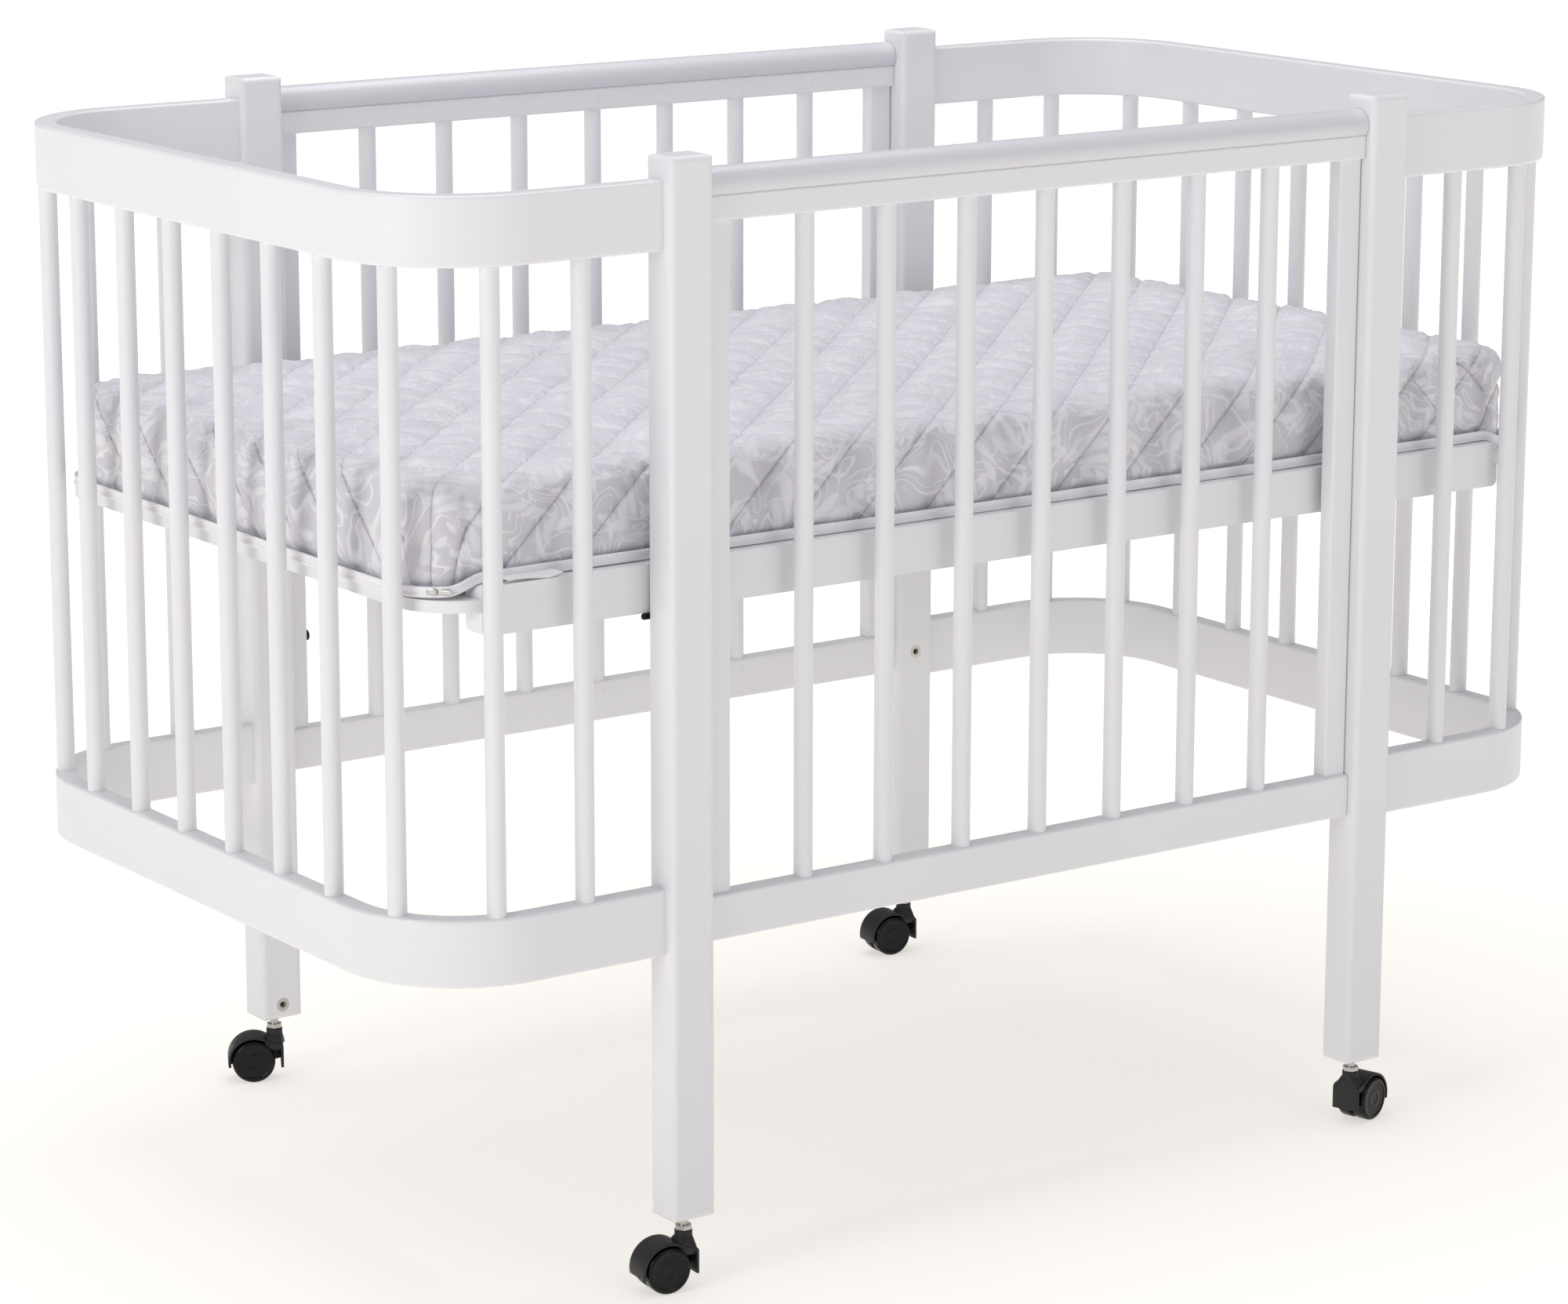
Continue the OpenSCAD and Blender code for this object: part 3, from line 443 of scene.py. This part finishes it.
# Each wooden or metal CAD piece takes the finish of its own material
finishes = {
    "post_": lacquer_z, "end_top": lacquer_y, "end_bottom": lacquer_y, "end_spindles": lacquer_z,
    "side_top": lacquer_x, "side_bottom": lacquer_x, "side_rail_cap": cap_abs, "side_stile": lacquer_z,
    "side_spindles": lacquer_z, "base_side": lacquer_x, "base_end": lacquer_y, "base_slats": lacquer_y,
    "base_plates": black_steel, "base_bolts": black_steel, "panel_bolts": black_steel, "base_inserts": zinc,
    "panel_inserts": zinc, "rail_dowels": beech, "caster_inserts": zinc, "caster_stems": zinc,
    "caster_axle": zinc,
}
for name, piece in frame["nodes"].items():
    for start, material in finishes.items():
        if name.startswith(start):
            piece.data.materials.clear()
            piece.data.materials.append(material)

# ---------- mattress ----------

core_low, core_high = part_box("mattress_cover")
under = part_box("mattress_cover_base")[0].z
band_low, band_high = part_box("mattress_zip_band")
half_len, half_wid = core_high.x, core_high.y
corner_r = 48 * MM
edge_r = 16 * MM
puff = 6 * MM            # height of the padding between two lines of quilting
quilt_pitch = 70 * MM    # spacing of the lines along the mattress
rail_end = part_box("base_side_rail_front")[1].x
board_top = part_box("base_end_board_left")[1].z


def sag(x):
    """How far the cover hangs below the core past the end of the base rails, down to the end board."""
    return (under - board_top - 1.2 * MM) * ramp(np.abs(x), rail_end - 8 * MM, rail_end + 22 * MM)


def unfolded(p):
    """The cover laid flat: a point on top keeps its x and y, and one on a side goes outwards by its depth."""
    inner = np.array([half_len - corner_r, half_wid - corner_r])
    q = np.clip(p[:, :2], -inner, inner)
    w = p[:, :2] - q
    far = np.maximum(np.linalg.norm(w, axis=1), 1e-9)
    deep = np.maximum(core_high.z - puff - p[:, 2], 0)
    return q + w * ((far + deep) / far)[:, None]


def girth(p):
    """The way round the mattress to the outline's nearest point to p, in metres, from the back's middle."""
    ring, _ = round_outline(half_len, half_wid, corner_r, 1200)
    total = np.linalg.norm(np.diff(ring, axis=0), axis=1).sum()
    angle_of = np.unwrap(np.arctan2(ring[:, 0] / half_len, ring[:, 1] / half_wid)[:-1])
    here = np.arctan2(p[:, 0] / half_len, p[:, 1] / half_wid) % (2 * math.pi)
    return np.interp(here, angle_of % (2 * math.pi), np.arange(1200) / 1200 * total)


def cross_share(flat):
    """Where the second family of lines is sewn: on the top, and on the sides only towards the right end."""
    on_top = ramp(-np.abs(flat[:, 1]), -half_wid - 2 * MM, -half_wid + 22 * MM)
    on_top *= ramp(-np.abs(flat[:, 0]), -half_len - 2 * MM, -half_len + 22 * MM)
    return np.maximum(on_top, ramp(flat[:, 0], 0.40, 0.46))


def line_distance(flat):
    """Distance from the nearest line of quilting. Lines run at 45 degrees both ways, a pitch apart along x."""
    def from_family(sign):
        t = (flat[:, 0] + sign * flat[:, 1]) / quilt_pitch
        return np.abs(t - np.round(t)) * quilt_pitch / math.sqrt(2)
    first, second = from_family(-1), from_family(1)
    return np.minimum(first, second + (1 - cross_share(flat)) * quilt_pitch)


def start_form(top, bottom, shrink):
    """Closed pad: its outline moved in by an inset at each height, round at the edges, closed at two poles."""
    ring, out = round_outline(half_len - shrink, half_wid - shrink, corner_r - shrink, 360)
    low_edge = arc_points(6 * MM, bottom + 6 * MM, 6 * MM, 270, 180, 6)
    high_edge = arc_points(edge_r, top - edge_r, edge_r, 180, 90, 10)
    rows = [np.zeros((len(ring), 3)) + [0, 0, bottom]]
    for inset, z in np.concatenate([low_edge, high_edge]):
        rows.append(np.column_stack([ring - inset * out, np.full(len(ring), z)]))
    rows.append(np.zeros((len(ring), 3)) + [0, 0, top])
    return np.stack(rows)


def swollen(piece):
    """Lets the padding swell: seams and underside are held, the rest is cloth under pressure, and no point
    moves more than a cap."""
    rest = coordinates(piece.data)
    flat = unfolded(rest)
    held = (line_distance(flat) < 4.5 * MM) | (rest[:, 2] < under + 12 * MM)
    group = piece.vertex_groups.new(name="held")
    group.add(np.flatnonzero(held).tolist(), 1.0, "REPLACE")
    cloth = piece.modifiers.new("cloth", "CLOTH")
    settings = cloth.settings
    settings.quality = 4
    settings.mass = 0.25
    settings.tension_stiffness = settings.compression_stiffness = 12
    settings.shear_stiffness = 6
    settings.bending_stiffness = 0.3
    settings.use_pressure = True
    settings.uniform_pressure_force = 4
    settings.shrink_min = -0.04
    settings.vertex_group_mass = "held"
    settings.effector_weights.gravity = 0
    cloth.point_cache.frame_start, cloth.point_cache.frame_end = 1, 20
    for step in range(1, 21):
        bpy.context.scene.frame_set(step)
    grown = evaluated(piece)
    move = coordinates(grown) - rest
    far = np.maximum(np.linalg.norm(move, axis=1), 1e-9)
    move *= (np.minimum(far, 7 * MM) / far)[:, None]
    piece.modifiers.clear()
    piece.vertex_groups.clear()
    bpy.context.scene.frame_set(1)
    piece.data.vertices.foreach_set("co", (rest + move).ravel())
    piece.data.update()


def make_mattress():
    """The padded cover over its core: swollen between seams, then given grooves, creases and a side seam."""
    piece = surface("mattress_quilted", [start_form(core_high.z - puff, under + 1 * MM, puff)], cover_cloth,
                    None)
    remesh = piece.modifiers.new("remesh", "REMESH")
    remesh.mode = "VOXEL"
    remesh.voxel_size = 7 * MM
    mesh = evaluated(piece)
    piece.modifiers.clear()
    piece.data = mesh
    swollen(piece)
    finer = piece.modifiers.new("finer", "SUBSURF")
    finer.levels = finer.render_levels = 1
    mesh = evaluated(piece)
    piece.modifiers.clear()
    piece.data = mesh
    p, n = coordinates(mesh), normals(mesh)
    flat = unfolded(p)
    top = ramp(n[:, 2], 0.3, 0.8)
    side = 1 - ramp(np.abs(n[:, 2]), 0.35, 0.8)
    near = line_distance(flat)
    # Grooves along the quilting
    move = -3.0 * MM * np.exp(-(near / (3.4 * MM)) ** 2) * (0.75 * top + side)
    # Short creases over the top, where the cover is looser than its padding
    turn = math.radians(36)
    along = flat[:, 0] * math.cos(turn) - flat[:, 1] * math.sin(turn)
    across = flat[:, 0] * math.sin(turn) + flat[:, 1] * math.cos(turn)
    phase = across / (13.5 * MM) + 1.5 * waves(along / 0.11 + 9, across / 0.05 + 5, 3)
    crease = signed_power(np.sin(2 * math.pi * phase), 0.8)
    share = ramp(waves(along / 0.075 + 20, across / 0.022 + 31, 4), 0.25, 0.75)
    move += 1.5 * MM * crease * share * top
    # Puckers that cross the seams on the sides, and slow unevenness everywhere
    shift = 5 * waves(flat[:, 0] / 0.05 + 40, flat[:, 1] / 0.05 + 40, 5)
    pucker = np.sin(2 * math.pi * (flat[:, 0] + flat[:, 1]) / (12 * MM) + shift)
    move += 0.7 * MM * pucker * np.exp(-(near / (12 * MM)) ** 2) * side
    slow = waves(flat[:, 0] / 0.09 + 12, flat[:, 1] / 0.09 + 12, 6) - 0.5
    move += slow * (2.2 * MM * top + 3.2 * MM * side * ramp(p[:, 2], under + 12 * MM, under + 34 * MM))
    # Upright seam near the front left corner
    seam_x = -half_len + 46 * MM
    seam = np.exp(-((p[:, 0] - seam_x) / (2.4 * MM)) ** 2) * (p[:, 1] < 0) * side
    move -= 1.8 * MM * seam
    p = p + n * move[:, None]
    # The cover is pulled in at the band and hangs past the ends of the base rails
    low = 1 - ramp(p[:, 2], under, under + 30 * MM)
    past_edge = np.maximum(np.abs(p[:, 0]) - half_len, np.abs(p[:, 1]) - half_wid)
    p[:, 2] -= sag(p[:, 0]) * low * ramp(past_edge, -0.09, -0.03)
    p[:, 2] = np.maximum(p[:, 2], np.where(np.abs(p[:, 0]) > rail_end, board_top + 1 * MM, under + 0.5 * MM))
    mesh.vertices.foreach_set("co", p.ravel())
    flat = unfolded(p)
    keep = mesh.attributes.new("cross_line", "FLOAT", "POINT")
    keep.data.foreach_set("value", cross_share(flat).astype(np.float32))
    loops = np.zeros(len(mesh.loops), int)
    mesh.loops.foreach_get("vertex_index", loops)
    face_sizes = np.zeros(len(mesh.polygons), int)
    mesh.polygons.foreach_get("loop_total", face_sizes)
    face_normal = np.zeros(len(mesh.polygons) * 3)
    mesh.polygons.foreach_get("normal", face_normal)
    upward = np.repeat(np.abs(face_normal.reshape(-1, 3)[:, 2]) > 0.7, face_sizes)
    around = np.column_stack([girth(p), p[:, 2]])
    cloth_uv = np.where(upward[:, None], p[loops][:, :2], around[loops])
    for name, uv in (("cloth", cloth_uv), ("quilt", flat[loops])):
        layer = mesh.uv_layers.new(name=name)
        layer.data.foreach_set("uv", uv.astype(np.float32).ravel())
    mesh.polygons.foreach_set("use_smooth", np.full(len(mesh.polygons), True))
    mesh.materials.clear()
    mesh.materials.append(cover_cloth)
    mesh.update()
    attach(piece, "mattress")
    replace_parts(piece, "mattress_cover", "mattress_cover_base", "mattress_core")
    return piece


def make_zip_band():
    """Tape with a piped edge above and below, carried round the mattress as a closed section of (out, up)
    points. The tape is a little wavy and hangs with the cover at the ends."""
    ring, out = round_outline(half_len - 1 * MM, half_wid - 1 * MM, corner_r - 1 * MM, 720)
    tall = band_high.z - band_low.z
    upper = arc_points(1.5 * MM, tall - 1.2 * MM, 1.3 * MM, 150, -60, 8)
    lower = arc_points(1.6 * MM, 1.4 * MM, 1.4 * MM, 60, -150, 8)
    tape = np.array([[1.9 * MM, tall * 0.62], [1.9 * MM, tall * 0.38]])
    inside = np.array([[-1.5 * MM, 1 * MM], [-1.5 * MM, tall - 1 * MM]])
    section = np.concatenate([upper, tape, lower, inside, upper[:1]])
    s = np.arange(len(ring)) % 720
    wave = (waves(s / 24.0, s * 0 + 3.5, 7) - 0.3) * 1.5 * MM
    bulge = (waves(s / 17.0, s * 0 + 8.5, 8) - 0.5) * 1.2 * MM
    grid = np.zeros((len(section), len(ring), 3))
    grid[:, :, :2] = ring + (section[:, 0][:, None] + bulge)[..., None] * out
    grid[:, :, 2] = band_low.z + section[:, 1][:, None] + wave - sag(ring[:, 0])
    floor_of = np.where(np.abs(grid[:, :, 0]) > rail_end, board_top + 0.6 * MM, under + 0.4 * MM)
    grid[:, :, 2] = np.maximum(grid[:, :, 2], floor_of)
    piece = surface("mattress_zip_tape", [grid], zip_cloth, "mattress")
    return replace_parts(piece, "mattress_zip_band")


def make_zip_slider():
    """Slider and pull at the front left corner: two rounded blocks, |x/a|^4 + |y/b|^4 + |z/c|^4 = 1."""
    def block(centre, half, spin):
        u = np.linspace(-math.pi / 2, math.pi / 2, 13)[:, None]
        v = np.linspace(0, 2 * math.pi, 25)[None, :]
        cos_u, sin_u = signed_power(np.cos(u), 0.5), signed_power(np.sin(u), 0.5)
        cos_v, sin_v = signed_power(np.cos(v), 0.5), signed_power(np.sin(v), 0.5)
        q = np.stack([half[0] * cos_u * cos_v, half[1] * cos_u * sin_v, half[2] * sin_u * np.ones_like(v)], -1)
        c, t = math.cos(spin), math.sin(spin)
        turn = np.array([[c, -t, 0], [t, c, 0], [0, 0, 1]])
        return q @ turn.T + np.array(centre)
    slope = math.radians(-52)
    x, y = -half_len + 17 * MM, -half_wid + 11 * MM
    z = board_top + 6.6 * MM
    body = block((x, y, z), (4.5 * MM, 2 * MM, 3.2 * MM), slope)
    pull = block((x + 7 * MM, y - 8 * MM, z - 0.5 * MM), (6.5 * MM, 0.7 * MM, 2 * MM), slope)
    return surface("zip_slider", [body, pull], zinc, "mattress")


def make_tag():
    """Ribbon sewn into the band: it comes out level, dips towards its free edge and curls at one end."""
    low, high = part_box("mattress_tag")
    inside = 4 * MM
    wide, deep = high.x - low.x, high.y - low.y + inside
    u, v = np.meshgrid(np.linspace(0, 1, 27), np.linspace(0, 1, 11), indexing="ij")
    lift = 1.1 * MM * np.sin(u * 5 + 0.6) * v - 1.6 * MM * v ** 2 + 2.2 * MM * ramp(u, 0.7, 1.0) * v
    grid = np.stack([low.x + wide * u, high.y + inside - deep * v, low.z + 1.2 * MM + lift], -1)
    piece = surface("mattress_ribbon", [grid], tag_cloth, "mattress")
    thick = piece.modifiers.new("thickness", "SOLIDIFY")
    thick.thickness = 0.3 * MM
    thick.offset = 0
    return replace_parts(piece, "mattress_tag")


mattress = make_mattress()
make_zip_band()
make_zip_slider()
make_tag()

# ---------- casters ----------

joints = {j["name"]: Vector(j["pos_m"]) for j in frame["joints"] if "pos_m" in j}
wheel_r = 20 * MM
trail = 20 * MM
hood_half = 13.8 * MM
wheel_in, wheel_wide = 2.8 * MM, 12 * MM
boss_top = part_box("caster_hood_front_left")[1].z


def placed(grid, corner):
    """Points drawn about a stem at the origin, trailing towards +X, turned and moved under their post."""
    stem, axle = joints["swivel_" + corner], joints["spin_" + corner + "_a"]
    angle = math.atan2(axle.y - stem.y, axle.x - stem.x)
    c, s = math.cos(angle), math.sin(angle)
    return grid @ np.array([[c, -s, 0], [s, c, 0], [0, 0, 1]]).T + np.array([stem.x, stem.y, 0])


def thick_band(outer, inner, half, lip):
    """A wall between two lines in the XZ plane, carried across Y, with round lips: near each end the wall
    thins to its middle line along a quarter circle."""
    middle = (outer + inner) / 2
    loop = np.concatenate([outer, inner[::-1], outer[:1]])
    mid = np.concatenate([middle, middle[::-1], middle[:1]])
    t = np.linspace(0, math.pi / 2, 6)
    y = np.concatenate([-(half - lip + lip * np.cos(t)), (half - lip + lip * np.cos(t))[::-1]])
    e = np.concatenate([np.sin(t), np.sin(t)[::-1]])
    rows = mid + (loop - mid) * e[:, None, None]
    return np.stack([rows[..., 0], np.repeat(y[:, None], len(loop), 1), rows[..., 1]], -1)


def plate(outline, y_low, y_high, round_off):
    """A flat plate from an outline in the XZ plane, drawn in towards its middle to close it, edges eased."""
    centre = outline.mean(0)
    loop = np.concatenate([outline, outline[:1]])
    steps = [(0, y_low), (1 - round_off, y_low), (1, y_low + 0.4 * MM), (1, y_high - 0.4 * MM),
             (1 - round_off, y_high), (0, y_high)]
    rows = [np.column_stack([(centre + (loop - centre) * e)[:, 0], np.full(len(loop), y),
                             (centre + (loop - centre) * e)[:, 1]]) for e, y in steps]
    return np.stack(rows)


def hood_grids():
    """The hood's parts: a canopy over both wheels that runs down into a flat front, a web between the wheels,
    the hub round the axle, the boss for the stem and sloping shoulders between the boss and the canopy."""
    front = -8 * MM
    outer_r, inner_r = 24 * MM, 21.6 * MM
    outer = np.concatenate([arc_points(trail, wheel_r, outer_r, -12, 128, 30),
                            arc_points(front + 4 * MM, 33 * MM, 4 * MM, 118, 180, 6),
                            np.column_stack([np.full(6, front), np.linspace(31, 14, 6) * MM])])
    inner = np.concatenate([arc_points(trail, wheel_r, inner_r, -12, 128, 30),
                            arc_points(front + 6.6 * MM, 31 * MM, 4 * MM, 118, 180, 6),
                            np.column_stack([np.full(6, front + 2.6 * MM), np.linspace(29.5, 14, 6) * MM])])
    canopy = thick_band(outer, inner, hood_half, 1.2 * MM)
    web = plate(np.concatenate([inner[::3], [[trail - 4 * MM, 15 * MM], [trail + 6 * MM, 14 * MM]]]),
                -2.5 * MM, 2.5 * MM, 0.02)
    hub = turned([(0, -2.6 * MM), (6.4 * MM, -2.6 * MM), (7 * MM, -2.1 * MM), (7 * MM, 2.1 * MM),
                  (6.4 * MM, 2.6 * MM), (0, 2.6 * MM)], 32)[..., [0, 2, 1]] + [trail, 0, wheel_r]
    top = boss_top
    boss = turned([(0, 30 * MM), (9.5 * MM, 36 * MM), (8.4 * MM, 41 * MM), (7.5 * MM, 44 * MM),
                   (7.5 * MM, top - 0.8 * MM), (7.26 * MM, top - 0.24 * MM), (6.7 * MM, top), (4.1 * MM, top),
                   (4.1 * MM, top - 3 * MM), (0, top - 3 * MM)], 40)
    a = np.linspace(0, 2 * math.pi, 49)
    square_x, square_y = signed_power(np.cos(a), 0.35), signed_power(np.sin(a), 0.35)
    rows = []
    for t, z in ((0.0, 45.5), (0.05, 45.2), (0.45, 41.5), (0.9, 37.0), (1.0, 35.5), (1.0, 31.0)):
        circle = np.stack([7 * MM * np.cos(a), 7 * MM * np.sin(a)], -1)
        block = np.stack([1.5 * MM + 9.3 * MM * square_x, 12.6 * MM * square_y], -1)
        rows.append(np.column_stack([circle * (1 - t) + block * t, np.full(len(a), z * MM)]))
    rows = [np.column_stack([rows[0][:, :2] * 0, rows[0][:, 2]])] + rows
    rows.append(np.column_stack([rows[-1][:, :2] * 0, rows[-1][:, 2]]))
    return [canopy, web, hub, boss, np.stack(rows)]


def wheel_grid(side):
    """A wheel as a profile turned about its axle: rounded tread, a rim that stands up from the face, a
    shallow dish inside it and one plain ring, with a blind bore behind."""
    r, w = wheel_r, wheel_wide
    tread = arc_points(r - 3.2 * MM, w - 3.2 * MM, 3.2 * MM, 0, 78, 8)
    inner_edge = arc_points(r - 1 * MM, 1 * MM, 1 * MM, -90, 0, 5)
    face = np.array([(16.6, 12.0), (16.0, 11.9), (15.4, 11.35), (14.8, 11.25), (10.0, 11.15), (7.2, 11.1),
                     (6.8, 11.3), (6.2, 11.3), (5.8, 11.1), (3.0, 11.1), (0, 11.1)]) * MM
    bore = np.array([(0, 9.5), (2.05, 9.5), (2.05, 0), (6.0, 0)]) * MM
    profile = np.concatenate([bore, inner_edge, tread, face])
    grid = turned(profile, 72)[..., [0, 2, 1]]
    grid[..., 1] = side * (wheel_in + grid[..., 1])
    return grid + [trail, 0, wheel_r]


for corner in CORNERS:
    hood = surface("hood_" + corner, [placed(g, corner) for g in hood_grids()], hood_abs, "caster_" + corner)
    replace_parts(hood, "caster_hood_" + corner)
    for letter, side in (("a", 1), ("b", -1)):
        wheel = surface("wheel_%s_%s" % (corner, letter), [placed(wheel_grid(side), corner)], wheel_nylon,
                        "wheel_%s_%s" % (corner, letter))
        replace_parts(wheel, "caster_wheel_%s_%s" % (corner, letter))

# ---------- filler over the brads that hold the spindles ----------


def spot_grid(centre, out):
    """A low dome of filler: a disc 4.6 mm across that rises 0.12 mm, facing out from a rail."""
    out = np.array(out, float)
    side = np.array([-out[1], out[0], 0])
    a = np.linspace(0, 2 * math.pi, 17)
    rows = []
    for share, rise in ((1.0, -0.1), (1.0, 0.02), (0.7, 0.09), (0.0, 0.12)):
        circle = np.outer(np.cos(a), side) + np.outer(np.sin(a), [0, 0, 1])
        rows.append(np.array(centre) + 2.3 * MM * share * circle + out * rise * MM)
    return np.stack(rows)


def spindle_middles(node):
    """The middles of a node's upright round bars: its points fall into groups by place, one to each bar."""
    co = coordinates(frame["nodes"][node].data)[:, :2]
    left, found = co, []
    while len(left):
        close = np.linalg.norm(left - left[0], axis=1) < 25 * MM
        group = left[close]
        found.append((group.min(0) + group.max(0)) / 2)
        left = left[~close]
    return found


def make_fillers():
    """Filler spots on the crib side of each rail, level with the spindles' tenons."""
    grids = []
    for panel, sy in (("front", -1), ("back", 1)):
        low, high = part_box("side_bottom_rail_" + panel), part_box("side_top_rail_" + panel)
        face = low[0].y if sy > 0 else low[1].y
        for x, _ in spindle_middles("side_spindles_" + panel):
            for z in (low[1].z - 9 * MM, high[0].z + 9 * MM):
                grids.append(spot_grid((x, face, z), (0, -sy, 0)))
    return surface("rail_fillers", grids, lacquer_x, "frame")


make_fillers()

# ---------- floor, light and camera ----------

reach = np.linspace(-FLOOR_REACH, FLOOR_REACH, 3)
floor = surface("floor", [np.stack(np.meshgrid(reach, reach, indexing="ij") + [np.zeros((3, 3))], -1)],
                glowing_floor(), None)

world = bpy.data.worlds.new("studio")
bpy.context.scene.world = world
world.use_nodes = True
world.node_tree.nodes["Background"].inputs["Color"].default_value = linear(SKY_COLOUR)
world.node_tree.nodes["Background"].inputs["Strength"].default_value = SKY_STRENGTH


def softbox(name, place, target, width, height, watts, colour):
    """A soft rectangular light that faces its target."""
    light = bpy.data.lights.new(name, "AREA")
    light.shape = "RECTANGLE"
    light.size, light.size_y = width, height
    light.energy = watts
    light.color = linear(colour)[:3]
    lamp = bpy.data.objects.new(name, light)
    bpy.context.scene.collection.objects.link(lamp)
    lamp.location = place
    lamp.rotation_euler = (Vector(target) - Vector(place)).to_track_quat("-Z", "Y").to_euler()


softbox("key, left", (-4.1, -0.9, 1.7), (0, 0, 0.6), 1.6, 1.6, KEY_WATTS, "#FFFFFF")
softbox("top", (0, 0.3, 3.4), (0, 0, 0), 3.0, 2.4, TOP_WATTS, "#FFFFFF")
softbox("fill, front", (0.8, -4.4, 1.9), (0, 0, 0.5), 2.0, 2.0, FILL_WATTS, "#FAFAFF")

camera_data = bpy.data.cameras.new("camera")
camera_data.sensor_width = SENSOR_WIDTH
camera_data.lens = LENS
camera = bpy.data.objects.new("camera", camera_data)
bpy.context.scene.collection.objects.link(camera)
yaw, pitch, roll = (math.radians(angle) for angle in (CAMERA_YAW, CAMERA_PITCH, CAMERA_ROLL))
ahead = Vector((math.sin(yaw) * math.cos(pitch), math.cos(yaw) * math.cos(pitch), -math.sin(pitch)))
camera.location = CAMERA_PLACE
camera.rotation_euler = ahead.to_track_quat("-Z", "Y").to_euler()
camera.rotation_euler.rotate_axis("Z", roll)
camera_data.clip_end = CAMERA_SIGHT
bpy.context.scene.camera = camera
bpy.context.scene.view_settings.view_transform = "Standard"
